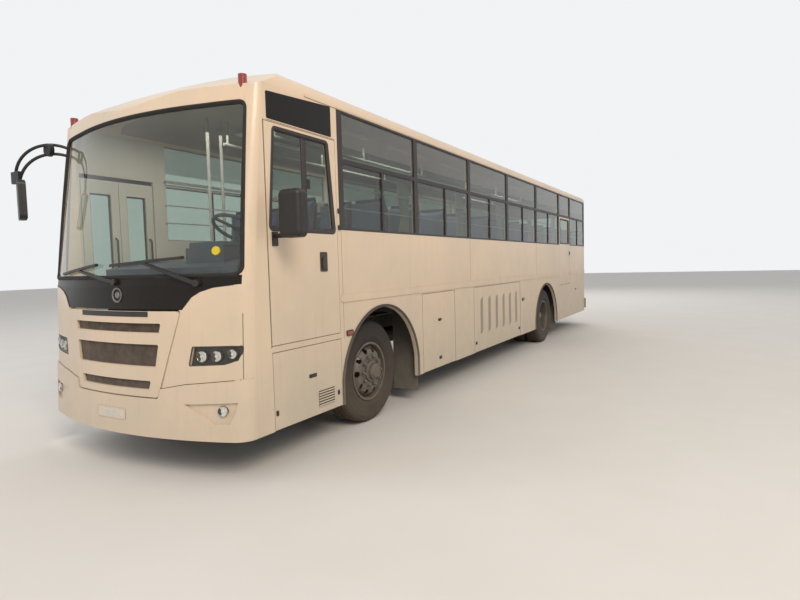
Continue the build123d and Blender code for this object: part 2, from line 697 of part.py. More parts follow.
# Chassis frame: two channel rails, cross members, bumper brackets and tow eyes
CROSS_MEMBERS_Y = [-5700.0, -4400.0, -2900.0, -1300.0, 300.0, 1500.0, 3000.0, 4500.0, 5700.0]
TOW_EYE_R = 22.0
TOW_EYE_Z = 285.0
outside_front = Pos(0, -6100, 600) * Box(2400, 1000, 1200) - front_solid(-50.0, 1300.0, WALL, back_y=-5000.0)
with BuildPart() as chassis_frame:
    for side in (1, -1):
        with BuildSketch(Plane.XZ.offset(-RAIL_REAR_Y)):
            inner, outer = side * RAIL_INNER, side * RAIL_OUTER
            low_x, high_x = min(inner, outer), max(inner, outer)
            between(low_x, high_x, RAIL_LOW, RAIL_TOP)
            hollow = (low_x, high_x - 10) if side > 0 else (low_x + 10, high_x)
            between(hollow[0], hollow[1], RAIL_LOW + 10, RAIL_TOP - 10, mode=Mode.SUBTRACT)
        extrude(amount=RAIL_REAR_Y - RAIL_FRONT_Y)
    for y in CROSS_MEMBERS_Y:
        block((-RAIL_OUTER + 10, RAIL_OUTER - 10), (y - 40, y + 40), (RAIL_TOP - 80, RAIL_TOP - 10))
    for side in (1, -1):
        x = (RAIL_INNER, RAIL_OUTER) if side > 0 else (-RAIL_OUTER, -RAIL_INNER)
        block(x, (-5860, -5800), (440, RAIL_TOP))
        block(x, (-5980, -5860), (440, 560))
        block(x, (RAIL_REAR_Y, REAR_Y - WALL), (TOW_EYE_Z - 40, RAIL_TOP))
        eye_x = side * (RAIL_INNER + RAIL_OUTER) / 2
        with BuildSketch(Plane.YZ.offset(eye_x)):
            with Locations((6085, TOW_EYE_Z)):
                Circle(40)
            between(5900, 6085, TOW_EYE_Z - 40, TOW_EYE_Z + 40)
            with Locations((6085, TOW_EYE_Z)):
                Circle(TOW_EYE_R, mode=Mode.SUBTRACT)
        extrude(amount=12, both=True)
    add(outside_front, mode=Mode.SUBTRACT)
chassis_frame.part.label = "chassis_frame"
export_step(chassis_frame.part, "parts/chassis_frame.step")

# Doors. Each leaf is the wall's full thickness and stands GAP clear of its opening.
DOOR_INNER = HALF_WIDTH - WALL
DOOR_WINDOW = [(-5558.0, 1920.0), (-5486.0, 2710.0), (-4795.0, 2710.0), (-4718.0, 1920.0)]
ESCAPE_WINDOW = (1985.0, 2510.0)


def leaf(side, opening, windows, thickness=WALL):
    """Door leaf or flap filling an opening, with its window outlines cut."""
    y_low, y_high, z_low, z_high = opening
    with BuildPart() as panel:
        with BuildSketch(side_plane(side, HALF_WIDTH - thickness)):
            between(y_low + GAP, y_high - GAP, z_low + GAP, z_high - GAP)
            for window in windows:
                Polygon(*window, align=None, mode=Mode.SUBTRACT)
        extrude(amount=side * thickness)
    return panel.part


def pane(side, window, depth=20.0):
    """Glass filling a window outline."""
    with BuildPart() as glass:
        with BuildSketch(side_plane(side, HALF_WIDTH - depth)):
            Polygon(*window, align=None)
        extrude(amount=side * PANE)
    return glass.part


def window_of(y_low, y_high, z_low, z_high):
    """Rectangular window outline in y and z."""
    return [(y_low, z_low), (y_low, z_high), (y_high, z_high), (y_high, z_low)]


driver_door = leaf(1, DRIVER_DOORWAY, [DOOR_WINDOW])
driver_door.label = "driver_door"
export_step(driver_door, "parts/driver_door.step")
driver_glass = pane(1, DOOR_WINDOW)
driver_glass.label = "driver_glass"
export_step(driver_glass, "parts/driver_glass.step")

escape_window = window_of(ESCAPE_DOORWAY[0] + 70, ESCAPE_DOORWAY[1] - 70, *ESCAPE_WINDOW)
escape_door = leaf(1, ESCAPE_DOORWAY, [escape_window])
escape_door.label = "escape_door"
export_step(escape_door, "parts/escape_door.step")
escape_glass = pane(1, escape_window)
escape_glass.label = "escape_glass"
export_step(escape_glass, "parts/escape_glass.step")

# Left mirror: rounded shell on two arms from the driver's door
MIRROR_X = (1360.0, 1570.0)
MIRROR_Y = (-5600.0, -5500.0)
MIRROR_Z = (1845.0, 2210.0)
with BuildPart() as left_mirror:
    block(MIRROR_X, MIRROR_Y, MIRROR_Z)
    fillet(left_mirror.edges().filter_by(Axis.Y), 45)
    fillet(left_mirror.faces().sort_by(Axis.Y)[0].edges(), 40)
    block((1250, 1380), (-5530, -5500), (1850, 1880))
    block((1250, 1262), (-5545, -5485), (1790, 1900))
left_mirror.part.label = "left_mirror"
export_step(left_mirror.part, "parts/left_mirror.step")

# Entry door: two leaves that fold inwards
ENTRY_LEAF = 35.0
ENTRY_FRONT = ENTRY_DOORWAY[0] + 14
ENTRY_REAR = ENTRY_DOORWAY[1] - 14
ENTRY_MIDDLE = (ENTRY_FRONT + ENTRY_REAR) / 2
ENTRY_Z = (ENTRY_DOORWAY[2] + 62, ENTRY_DOORWAY[3] - 46)
ENTRY_PANES = (1180.0, 2420.0)
ENTRY_STILE = 85.0


def entry_leaf(y_low, y_high):
    """One leaf of the entry door with its tall window."""
    outer = HALF_WIDTH - 5
    window = window_of(y_low + ENTRY_STILE, y_high - ENTRY_STILE, *ENTRY_PANES)
    with BuildPart() as panel:
        with BuildSketch(Plane.YZ.offset(-outer)):
            between(y_low, y_high, *ENTRY_Z)
            Polygon(*window, align=None, mode=Mode.SUBTRACT)
        extrude(amount=ENTRY_LEAF)
    with BuildPart() as glass:
        with BuildSketch(Plane.YZ.offset(-outer + 14)):
            Polygon(*window, align=None)
        extrude(amount=PANE)
    return panel.part, glass.part


for name, y_low, y_high in (
    ("front", ENTRY_FRONT, ENTRY_MIDDLE - 3),
    ("rear", ENTRY_MIDDLE + 3, ENTRY_REAR),
):
    panel, glass = entry_leaf(y_low, y_high)
    panel.label = f"entry_leaf_{name}"
    export_step(panel, f"parts/entry_leaf_{name}.step")
    glass.label = f"entry_glass_{name}"
    export_step(glass, f"parts/entry_glass_{name}.step")

# Flaps of the skirt. The louvred one has columns of slanted slots.
service_flap = leaf(1, SERVICE_HATCH, [])
service_flap.label = "service_flap"
export_step(service_flap, "parts/service_flap.step")
battery_flap = leaf(1, BATTERY_HATCH, [], 30.0)
battery_flap.label = "battery_flap"
export_step(battery_flap, "parts/battery_flap.step")
locker_flap = leaf(-1, LOCKER_HATCH, [], 30.0)
locker_flap.label = "locker_flap"
export_step(locker_flap, "parts/locker_flap.step")

LOUVRE_COLUMNS = 6
LOUVRE_ROWS = 12
LOUVRE_PITCH = (315.0, 42.0)
LOUVRE_SLOT = (120.0, 18.0)
LOUVRE_TILT = 25.0
LOUVRE_CENTRE = (-395.0, 845.0)
LOUVRE_THICKNESS = 20.0
with BuildPart() as louvre_flap:
    add(leaf(1, LOUVRE_HATCH, [], LOUVRE_THICKNESS))
    with BuildSketch(Plane.YZ.offset(HALF_WIDTH - 60)):
        with Locations(LOUVRE_CENTRE):
            with GridLocations(*LOUVRE_PITCH, LOUVRE_COLUMNS, LOUVRE_ROWS):
                Rectangle(*LOUVRE_SLOT, rotation=LOUVRE_TILT)
    extrude(amount=100, mode=Mode.SUBTRACT)
louvre_flap.part.label = "louvre_flap"
export_step(louvre_flap.part, "parts/louvre_flap.step")

# Right mirror: two curved bars reaching forward from the roof corner, a strut, a disc and the mirror head
BAR_R = 14.0
MIRROR_BARS = [
    # start on the body, middle, end over the mirror
    ((-1185.0, -5650.0, 2810.0), (-1330.0, -5850.0, 2830.0), (-1515.0, -5990.0, 2560.0)),
    ((-1185.0, -5660.0, 2740.0), (-1310.0, -5830.0, 2745.0), (-1450.0, -5985.0, 2520.0)),
]
RIGHT_HEAD = (-1425.0, -6000.0, 2315.0)
RIGHT_HEAD_SIZE = (200.0, 60.0, 370.0)
RIGHT_HEAD_TURN = 23.0
with BuildPart() as right_mirror:
    for start, middle, end in MIRROR_BARS:
        with BuildLine() as path:
            ThreePointArc(start, middle, end)
        with BuildSketch(Plane(origin=start, z_dir=path.line % 0)):
            Circle(BAR_R)
        sweep(path=path.line)
    with BuildSketch(Plane.XZ.offset(5985)):
        with Locations((-1490, 2530)):
            Rectangle(130, 110)
    extrude(amount=30)
    with BuildSketch(Plane(origin=RIGHT_HEAD, x_dir=(cos(radians(RIGHT_HEAD_TURN)), -sin(radians(RIGHT_HEAD_TURN)), 0),
                           z_dir=(-sin(radians(RIGHT_HEAD_TURN)), -cos(radians(RIGHT_HEAD_TURN)), 0))):
        RectangleRounded(RIGHT_HEAD_SIZE[0], RIGHT_HEAD_SIZE[2], 45)
    extrude(amount=RIGHT_HEAD_SIZE[1] / 2, both=True)
    with Locations((-1262.0, -5810.0, 2790.0)):
        Cylinder(60, 40, rotation=(90, 0, 20))
    add(outer_form, mode=Mode.SUBTRACT)
right_mirror.part.label = "right_mirror"
export_step(right_mirror.part, "parts/right_mirror.step")


def spin(profile, centre_x, centre_y, side):
    """Ring turned about the axle from a profile in (radius, distance outwards)."""
    with BuildPart() as ring:
        with BuildSketch(Plane.XZ.offset(-centre_y)):
            with BuildLine() as outline:
                Polyline(*[(centre_x + side * out, WHEEL_Z + radius) for radius, out in profile], close=True)
            make_face(outline.edges())
        revolve(axis=Axis((0, centre_y, WHEEL_Z), (1, 0, 0)))
    return ring.part


# Tyre section and wheel sections, as (radius, distance outwards from the tyre's middle)
TYRE_PROFILE = [
    (RIM_R, -108), (304, -109), (330, -127), (400, -140), (455, -138), (500, -124), (520, -104), (TYRE_R, -80),
    (TYRE_R, 80), (520, 104), (500, 124), (455, 138), (400, 140), (330, 127), (304, 109), (RIM_R, 108),
]
BARREL_PROFILE = [
    (RIM_R, -110), (302, -110), (302, -119), (278, -119), (272, -90), (272, 90), (278, 119), (302, 119),
    (302, 110), (RIM_R, 110),
]
FRONT_DISC_PROFILE = [
    (272, 48), (246, 62), (232, 92), (216, 112), (180, 122), (108, 124), (108, 136), (186, 134), (224, 122),
    (243, 98), (254, 74), (272, 62),
]
FRONT_HUB_PROFILE = [
    (38 + RUNNING_FIT, -55), (100, -55), (108, -20), (108, 150), (84, 158), (78, 190), (60, 200), (0, 200),
    (0, 30), (38 + RUNNING_FIT, 30),
]
REAR_DISC_PROFILE = [
    (272, -48), (246, -62), (232, -92), (216, -128), (180, -150), (108, -152), (108, -164), (186, -162),
    (224, -140), (243, -104), (254, -76), (272, -62),
]
REAR_HUB_PROFILE = [
    (45 + RUNNING_FIT, -330), (100, -330), (108, -290), (108, -30), (70, -22), (62, 60), (0, 60), (0, -60),
    (45 + RUNNING_FIT, -60),
]
HAND_HOLES = 10
HAND_HOLE_R = 30.0
HAND_HOLE_CIRCLE = 222.0


def hand_holes(disc, centre_x, centre_y):
    """Disc with its ring of hand holes."""
    with BuildPart() as holed:
        add(disc)
        with BuildSketch(Plane.YZ.offset(centre_x - 400)):
            with Locations((centre_y, WHEEL_Z)):
                with PolarLocations(HAND_HOLE_CIRCLE, HAND_HOLES):
                    Circle(HAND_HOLE_R)
        extrude(amount=800, mode=Mode.SUBTRACT)
    return holed.part


for name, side in (("left", 1), ("right", -1)):
    x = side * FRONT_WHEEL_X
    tyre = spin(TYRE_PROFILE, x, FRONT_AXLE_Y, side)
    tyre.label = f"tyre_front_{name}"
    export_step(tyre, f"parts/tyre_front_{name}.step")
    with BuildPart() as rim:
        add(hand_holes(spin(FRONT_DISC_PROFILE, x, FRONT_AXLE_Y, side), x, FRONT_AXLE_Y))
        add(spin(BARREL_PROFILE, x, FRONT_AXLE_Y, side))
        add(spin(FRONT_HUB_PROFILE, x, FRONT_AXLE_Y, side))
    rim.part.label = f"rim_front_{name}"
    export_step(rim.part, f"parts/rim_front_{name}.step")

    outer_x, inner_x = side * REAR_OUTER_X, side * REAR_INNER_X
    with BuildPart() as twins:
        add(spin(TYRE_PROFILE, outer_x, REAR_AXLE_Y, side))
        add(spin(TYRE_PROFILE, inner_x, REAR_AXLE_Y, side))
    twins.part.label = f"tyres_rear_{name}"
    export_step(twins.part, f"parts/tyres_rear_{name}.step")
    with BuildPart() as rims:
        add(hand_holes(spin(REAR_DISC_PROFILE, outer_x, REAR_AXLE_Y, side), outer_x, REAR_AXLE_Y))
        add(spin(BARREL_PROFILE, outer_x, REAR_AXLE_Y, side))
        add(spin(BARREL_PROFILE, inner_x, REAR_AXLE_Y, side))
        add(hand_holes(spin(REAR_DISC_PROFILE, inner_x, REAR_AXLE_Y, -side), inner_x, REAR_AXLE_Y))
        add(spin(REAR_HUB_PROFILE, outer_x, REAR_AXLE_Y, side))
    rims.part.label = f"rims_rear_{name}"
    export_step(rims.part, f"parts/rims_rear_{name}.step")

# Knuckles: a fork round the axle's eye, its kingpin, and the spindle that carries the wheel
EYE_R = 48.0
KINGPIN_R = 20.0
FORK_Z = ((422.0, 452.0), (598.0, 628.0))
for name, side in (("left", 1), ("right", -1)):
    with BuildPart() as knuckle:
        for z_low, z_high in FORK_Z:
            x = sorted((side * 790.0, side * 925.0))
            block(x, (FRONT_AXLE_Y - 45, FRONT_AXLE_Y + 45), (z_low, z_high))
        block(sorted((side * 885.0, side * 925.0)), (FRONT_AXLE_Y - 60, FRONT_AXLE_Y + 60), (FORK_Z[0][0], FORK_Z[1][1]))
        with Locations((side * KINGPIN_X, FRONT_AXLE_Y, (FORK_Z[0][0] + FORK_Z[1][1]) / 2)):
            Cylinder(KINGPIN_R, FORK_Z[1][1] - FORK_Z[0][0])
        with BuildSketch(Plane.YZ.offset(side * 925.0)):
            with Locations((FRONT_AXLE_Y, WHEEL_Z)):
                Circle(38)
        extrude(amount=side * 100)
    knuckle.part.label = f"knuckle_{name}"
    export_step(knuckle.part, f"parts/knuckle_{name}.step")

# Leaf springs: arched stacks between axle and frame, with a hanger at each end
SPRING_HALF = 760.0
SPRING_X = (360.0, 430.0)


def springs(axle_y, seat_z):
    """Pair of leaf springs standing on an axle, reaching up to the rails."""
    with BuildPart() as pair:
        with BuildSketch(Plane.YZ.offset(SPRING_X[0])):
            with BuildLine() as outline:
                ThreePointArc((axle_y - SPRING_HALF, 740), (axle_y, seat_z + 90), (axle_y + SPRING_HALF, 740))
                Line((axle_y + SPRING_HALF, 740), (axle_y + SPRING_HALF, 722))
                ThreePointArc((axle_y + SPRING_HALF, 722), (axle_y, seat_z), (axle_y - SPRING_HALF, 722))
                Line((axle_y - SPRING_HALF, 722), (axle_y - SPRING_HALF, 740))
            make_face(outline.edges())
            for end in (-1, 1):
                y = axle_y + end * SPRING_HALF
                between(y - 28, y + 28, 715, RAIL_LOW)
            between(axle_y - 70, axle_y + 70, seat_z - 10, seat_z + 70)
        extrude(amount=SPRING_X[1] - SPRING_X[0])
        mirror(about=Plane.YZ)
    return pair.part


# Front axle: a dropped beam with an eye at each end
BEAM = [(858.0, 480.0), (858.0, 572.0), (700.0, 560.0), (600.0, 470.0), (0.0, 470.0)]
BEAM_LOW = [(0.0, 375.0), (620.0, 375.0), (740.0, 480.0)]
with BuildPart() as front_axle:
    with BuildSketch(Plane.XZ.offset(-FRONT_AXLE_Y)):
        half_beam = BEAM[:-1] + [(-x, z) for x, z in reversed(BEAM[:-1])]
        half_low = [(-x, z) for x, z in reversed(BEAM_LOW[1:])] + BEAM_LOW[1:]
        Polygon(*half_beam, *half_low, align=None)
    extrude(amount=42, both=True)
    for side in (1, -1):
        with Locations((side * KINGPIN_X, FRONT_AXLE_Y, WHEEL_Z)):
            Cylinder(EYE_R, 138)
            Cylinder(KINGPIN_R + RUNNING_FIT, 200, mode=Mode.SUBTRACT)
    add(springs(FRONT_AXLE_Y, 470.0))
front_axle.part.label = "front_axle"
export_step(front_axle.part, "parts/front_axle.step")

# Rear axle: banjo housing with its tubes, and the spindles inside the hubs
with BuildPart() as rear_axle:
    with BuildSketch(Plane.XZ.offset(-REAR_AXLE_Y)):
        with BuildLine() as outline:
            Polyline(
                (0, WHEEL_Z), (1000, WHEEL_Z), (1000, WHEEL_Z + 45), (720, WHEEL_Z + 45), (700, WHEEL_Z + 72),
                (330, WHEEL_Z + 72), (190, WHEEL_Z + 200), (0, WHEEL_Z + 215), close=True,
            )
        make_face(outline.edges())
    revolve(axis=Axis((0, REAR_AXLE_Y, WHEEL_Z), (1, 0, 0)))
    mirror(about=Plane.YZ)
    add(springs(REAR_AXLE_Y, WHEEL_Z + 60))
rear_axle.part.label = "rear_axle"
export_step(rear_axle.part, "parts/rear_axle.step")

# Engine and gearbox as plain masses, and the propeller shaft to the rear axle
with BuildPart() as drive_line:
    block((-320, 320), (-5640, -4560), (560, RAIL_TOP - 10))
    block((10 - RAIL_OUTER, RAIL_OUTER - 10), (-5250, -5150), (880, 960))
    block((-190, 190), (-4560, -4020), (620, 950))
    SHAFT_FRONT = (0, -4020, 810)
    SHAFT_REAR = (0, REAR_AXLE_Y - 217, 560)
    with BuildLine() as path:
        Line(SHAFT_FRONT, SHAFT_REAR)
    with BuildSketch(Plane(origin=SHAFT_FRONT, z_dir=path.line % 0)):
        Circle(50)
    sweep(path=path.line)
    fillet(drive_line.edges().filter_by(Axis.Y).group_by(Axis.Z)[0], 40)
drive_line.part.label = "drive_line"
export_step(drive_line.part, "parts/drive_line.step")

# Fuel tank on the right, between the axles
with BuildPart() as fuel_tank:
    block((-1080, -560), (-2650, -1350), (440, 940))
    fillet(fuel_tank.edges().filter_by(Axis.Y), 110)
    for y in (-2400, -1600):
        block((-565, -RAIL_OUTER), (y - 30, y + 30), (740, 900))
fuel_tank.part.label = "fuel_tank"
export_step(fuel_tank.part, "parts/fuel_tank.step")

# Exhaust: silencer and pipe hung under the left rail
with BuildPart() as exhaust:
    with BuildSketch(Plane.XZ.offset(4000)):
        with Locations((240, 650)):
            Circle(42)
    extrude(amount=-5300)
    with BuildSketch(Plane.XZ.offset(2400)):
        with Locations((240, 650)):
            Circle(105)
    extrude(amount=-1000)
    for y in (-3800, -1900, 1100):
        block((228, 252), (y - 20, y + 20), (655, RAIL_LOW + 60))
        block((228, RAIL_OUTER - 10), (y - 20, y + 20), (RAIL_LOW + 60, RAIL_LOW + 90))
exhaust.part.label = "exhaust"
export_step(exhaust.part, "parts/exhaust.step")

# Mud flaps behind the wheels, hung from the floor's bearers
MUD_FLAPS_Y = [-3120.0, 3170.0]
with BuildPart() as mud_flaps:
    for y in MUD_FLAPS_Y:
        for side in (1, -1):
            width = (880.0, 1200.0) if y < 0 else (640.0, 1200.0)
            block(sorted((side * width[0], side * width[1])), (y, y + 8), (140, FLOOR_UNDER))
mud_flaps.part.label = "mud_flaps"
export_step(mud_flaps.part, "parts/mud_flaps.step")

# Seats: rows of double benches each side of the aisle, and the driver's seat
SEAT_PITCH = 775.0
SEAT_ROWS = 13
FIRST_ROW_Y = -4150.0
BENCH_X = (270.0, 1145.0)
SEAT_PROFILE = [(0, 330), (0, 440), (390, 430), (470, 1060), (560, 1060), (480, 330)]
with BuildPart() as seats:
    for row in range(SEAT_ROWS):
        y = FIRST_ROW_Y + row * SEAT_PITCH
        with BuildSketch(Plane.YZ.offset(BENCH_X[0])):
            Polygon(*[(y + dy, FLOOR_TOP + dz) for dy, dz in SEAT_PROFILE], align=None)
        extrude(amount=BENCH_X[1] - BENCH_X[0])
        for dy in (60, 400):
            block((BENCH_X[0] + 90, BENCH_X[0] + 120), (y + dy, y + dy + 40), (FLOOR_TOP, FLOOR_TOP + 330))
            block((BENCH_X[1] - 60, BENCH_X[1] - 30), (y + dy, y + dy + 40), (FLOOR_TOP, FLOOR_TOP + 330))
    mirror(about=Plane.YZ)
seats.part.label = "seats"
export_step(seats.part, "parts/seats.step")

DRIVER_X = 640.0
DRIVER_Y = -4980.0
with BuildPart() as driver_seat:
    with BuildSketch(Plane.YZ.offset(DRIVER_X - 240)):
        Polygon(*[(DRIVER_Y + dy, FLOOR_TOP + dz - 40) for dy, dz in SEAT_PROFILE], align=None)
    extrude(amount=480)
    block((DRIVER_X - 180, DRIVER_X + 180), (DRIVER_Y + 60, DRIVER_Y + 420), (FLOOR_TOP, FLOOR_TOP + 300))
driver_seat.part.label = "driver_seat"
export_step(driver_seat.part, "parts/driver_seat.step")

# Place and rake of the steering wheel
STEER_CENTRE = (640.0, -5290.0, 1960.0)
STEER_RAKE = 30.0
rake_axis = (0, -cos(radians(90 - STEER_RAKE)), -sin(radians(90 - STEER_RAKE)))
COLUMN_LENGTH = 250.0

# What lies outside the cab's panels or above the ceiling
outside_cab = Pos(0, -5850, 1500) * Box(2700, 700, 1200) - front_solid(850.0, 2200.0, WALL + 3.0, back_y=-5000.0)
above_ceiling = Pos(0, 0, 3300) * Box(2600, 12400, 500) - inner_form

# Dashboard with the engine cowl beside the driver
with BuildPart() as dashboard:
    with BuildSketch(Plane.YZ.offset(-420)):
        Polygon((-5850, FLOOR_TOP), (-5850, 1640), (-5560, 1700), (-5400, 1560), (-5440, FLOOR_TOP), align=None)
    extrude(amount=1560)
    with BuildSketch(Plane.XZ.offset(4700)):
        Polygon((-420, FLOOR_TOP), (-360, 1560), (180, 1600), (260, FLOOR_TOP), align=None)
    extrude(amount=900)
    block((420, 860), (-5680, -5480), (1650, 1800))
    with BuildSketch(Plane(origin=STEER_CENTRE, x_dir=(1, 0, 0), z_dir=rake_axis).offset(COLUMN_LENGTH + 3)):
        Circle(34)
    extrude(amount=220)
    add(outside_cab, mode=Mode.SUBTRACT)
dashboard.part.label = "dashboard"
export_step(dashboard.part, "parts/dashboard.step")

# Steering wheel on its raked column
STEER_RIM_R = 225.0
with BuildPart() as steering_wheel:
    wheel_plane = Plane(origin=STEER_CENTRE, x_dir=(1, 0, 0), z_dir=rake_axis)
    with BuildSketch(Plane(origin=STEER_CENTRE, x_dir=(1, 0, 0), z_dir=wheel_plane.y_dir)):
        with Locations((STEER_RIM_R, 0)):
            Circle(16)
    revolve(axis=Axis(STEER_CENTRE, rake_axis))
    with BuildSketch(wheel_plane):
        Circle(55)
        with PolarLocations(0, 3):
            between(0, STEER_RIM_R, -14, 14)
    extrude(amount=8, both=True)
    with BuildSketch(wheel_plane):
        Circle(20)
    extrude(amount=COLUMN_LENGTH)
steering_wheel.part.label = "steering_wheel"
export_step(steering_wheel.part, "parts/steering_wheel.step")

# Grab rails: ceiling rails over the aisle, poles, and guard bars across the side windows
with BuildPart() as grab_rails:
    for side in (1, -1):
        with BuildSketch(Plane.XZ.offset(4500)):
            with Locations((side * 330, 2950)):
                Circle(16)
        extrude(amount=-9900)
        for y in (-4450, -2800, -1200, 400, 2000, 3600, 5350):
            with Locations((side * 330, y, 3075)):
                Cylinder(12, 250)
        for z in (2160.0, 2360.0):
            block(sorted((side * 1193.0, side * 1205.0)), (-4600, 5840), (z - 7, z + 7))
    for x, y in ((-400.0, -4660.0), (-400.0, -4480.0)):
        with Locations((x, y, 2255)):
            Cylinder(17, 1970)
    block((0, 1400), ESCAPE_DOORWAY[:2], (1000, 2600), mode=Mode.SUBTRACT)
    add(above_ceiling, mode=Mode.SUBTRACT)
grab_rails.part.label = "grab_rails"
export_step(grab_rails.part, "parts/grab_rails.step")

# Curtains gathered at the pillars, as thin closed bundles
CURTAIN_WIDTH = 260.0
with BuildPart() as curtains:
    for side in (1, -1):
        for y_low, y_high in bays(side):
            block(sorted((side * 1150.0, side * 1185.0)), (y_high - CURTAIN_WIDTH, y_high), (1900, 2640))
        block(sorted((side * 1185.0, side * 1205.0)), (-4600, 5840), (2600, 2624))
        block(sorted((side * 1150.0, side * 1205.0)), (-4600, 5840), (2624, 2640))
    block((0, 1400), ESCAPE_DOORWAY[:2], (1000, 2600), mode=Mode.SUBTRACT)
curtains.part.label = "curtains"
export_step(curtains.part, "parts/curtains.step")
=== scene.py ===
import math
import random

import bmesh
import bpy
from bpy.props import FloatProperty, IntProperty, PointerProperty, StringProperty
from mathutils import Matrix, Vector


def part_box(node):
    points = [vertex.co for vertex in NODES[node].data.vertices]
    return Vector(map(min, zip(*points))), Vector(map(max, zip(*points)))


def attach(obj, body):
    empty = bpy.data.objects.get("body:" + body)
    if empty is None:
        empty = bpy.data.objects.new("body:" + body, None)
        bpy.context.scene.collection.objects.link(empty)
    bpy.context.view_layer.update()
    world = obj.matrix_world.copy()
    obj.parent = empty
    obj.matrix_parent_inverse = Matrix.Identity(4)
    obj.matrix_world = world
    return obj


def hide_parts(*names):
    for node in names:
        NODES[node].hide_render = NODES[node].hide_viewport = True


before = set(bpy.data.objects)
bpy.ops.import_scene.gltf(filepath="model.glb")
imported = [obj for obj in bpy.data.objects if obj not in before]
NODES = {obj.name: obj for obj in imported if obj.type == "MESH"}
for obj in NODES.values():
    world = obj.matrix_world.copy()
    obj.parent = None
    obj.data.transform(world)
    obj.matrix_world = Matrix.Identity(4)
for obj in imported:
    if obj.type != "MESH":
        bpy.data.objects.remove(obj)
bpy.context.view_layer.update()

bl_info = {
    "name": "Coach bus",
    "version": (1, 0, 0),
    "blender": (4, 5, 0),
    "location": "3D View > Sidebar > Coach",
    "description": "Finishes and detail pieces of a front-engined coach bus, round its fixed frame",
    "category": "Add Mesh",
}

UPWARDS = Vector((0.0, 0.0, 1.0))

# Places that the frame's solids have, in metres
FRONT_AXLE_Y = -4.02
REAR_AXLE_Y = 2.23
WHEEL_Z = 0.525
SIDE_X = 1.25
REAR_Y = 6.0
FLOOR_TOP = 1.27
PILLARS = [-4.61, -3.14, -1.58, 0.01, 1.65, 3.33, 4.33, 5.86]
ESCAPE_BAY = 5
# half widths at which the front's middle arc ends and its tight corner starts, and how far each part bulges
SHOULDER_X = 0.8
CORNER_X = 1.15
SHOULDER_BULGE = 0.006
CORNER_BULGE = 0.022
# height, centre y, shoulder y, corner y, flank y of the front
FRONT_PLANS = [
    (0.330, -6.135, -6.033, -5.923, -5.800),
    (1.500, -6.090, -5.984, -5.872, -5.750),
    (3.250, -5.820, -5.715, -5.625, -5.575),
]


class CoachColours(bpy.types.PropertyGroup):
    """Paints and cloths of the coach, as sRGB hex values"""

    cream: StringProperty(name="Cream paint", description="Faded warm cream of the body", default="#DDC5A9")
    cream_faded: StringProperty(
        name="Faded cream", description="Chalked patches of the paint", default="#D2BFA6")
    dust: StringProperty(name="Dust", description="Sand dust lying on the lower body", default="#B1A999")
    black: StringProperty(name="Black gloss", description="Panel under the windscreen", default="#17130F")
    frames: StringProperty(
        name="Window frames", description="Brown-black frames of the windows", default="#1F1614")
    seat: StringProperty(name="Seat cloth", description="Woven cover of the seats", default="#4A5A70")
    curtain: StringProperty(
        name="Curtain cloth", description="Pleated curtains at the windows", default="#8C8B72")
    rim: StringProperty(name="Wheel paint", description="Dusty silver-grey of the wheels", default="#6E6760")


class CoachSizes(bpy.types.PropertyGroup):
    """Sizes of the added detail"""

    gasket: FloatProperty(
        name="Glass rubber", description="Width of the rubber round the windscreen",
        default=0.036, unit="LENGTH")
    tread: FloatProperty(
        name="Tread depth", description="Depth of the grooves in the tyres", default=0.011, unit="LENGTH")
    nuts: IntProperty(name="Wheel nuts", description="Nuts on each wheel", default=10, min=6, max=12)
    mesh_cell: FloatProperty(
        name="Grille cell", description="Width of one diamond of the grille mesh",
        default=0.022, unit="LENGTH")


def linear(code, alpha=1.0):
    """Linear colour of an sRGB hex value."""
    parts = [int(code[i:i + 2], 16) / 255.0 for i in (1, 3, 5)]
    return tuple(p / 12.92 if p <= 0.04045 else ((p + 0.055) / 1.055) ** 2.4 for p in parts) + (alpha,)


def add_node(tree, kind, settings=None, links=None):
    """Adds a node; settings are attributes or input values, links join an input to another node's output."""
    node = tree.nodes.new(kind)
    for key, value in (settings or {}).items():
        if isinstance(key, str) and key in node.bl_rna.properties:
            setattr(node, key, value)
        else:
            node.inputs[key].default_value = value
    for key, source in (links or {}).items():
        tree.links.new(source, node.inputs[key])
    return node


FINISH = {}

# height at which the dust is thickest, roughness of dust, and colour of the water runs
FULL_DUST_Z = 0.25
DUST_ROUGHNESS = 0.85
STREAK_COLOUR = "#8E7F6B"


def start_material(name):
    """Empty material with its output node; kept under its name."""
    material = bpy.data.materials.new(name)
    material.use_nodes = True
    material.node_tree.nodes.clear()
    FINISH[name] = material
    return material.node_tree, add_node(material.node_tree, "ShaderNodeOutputMaterial")


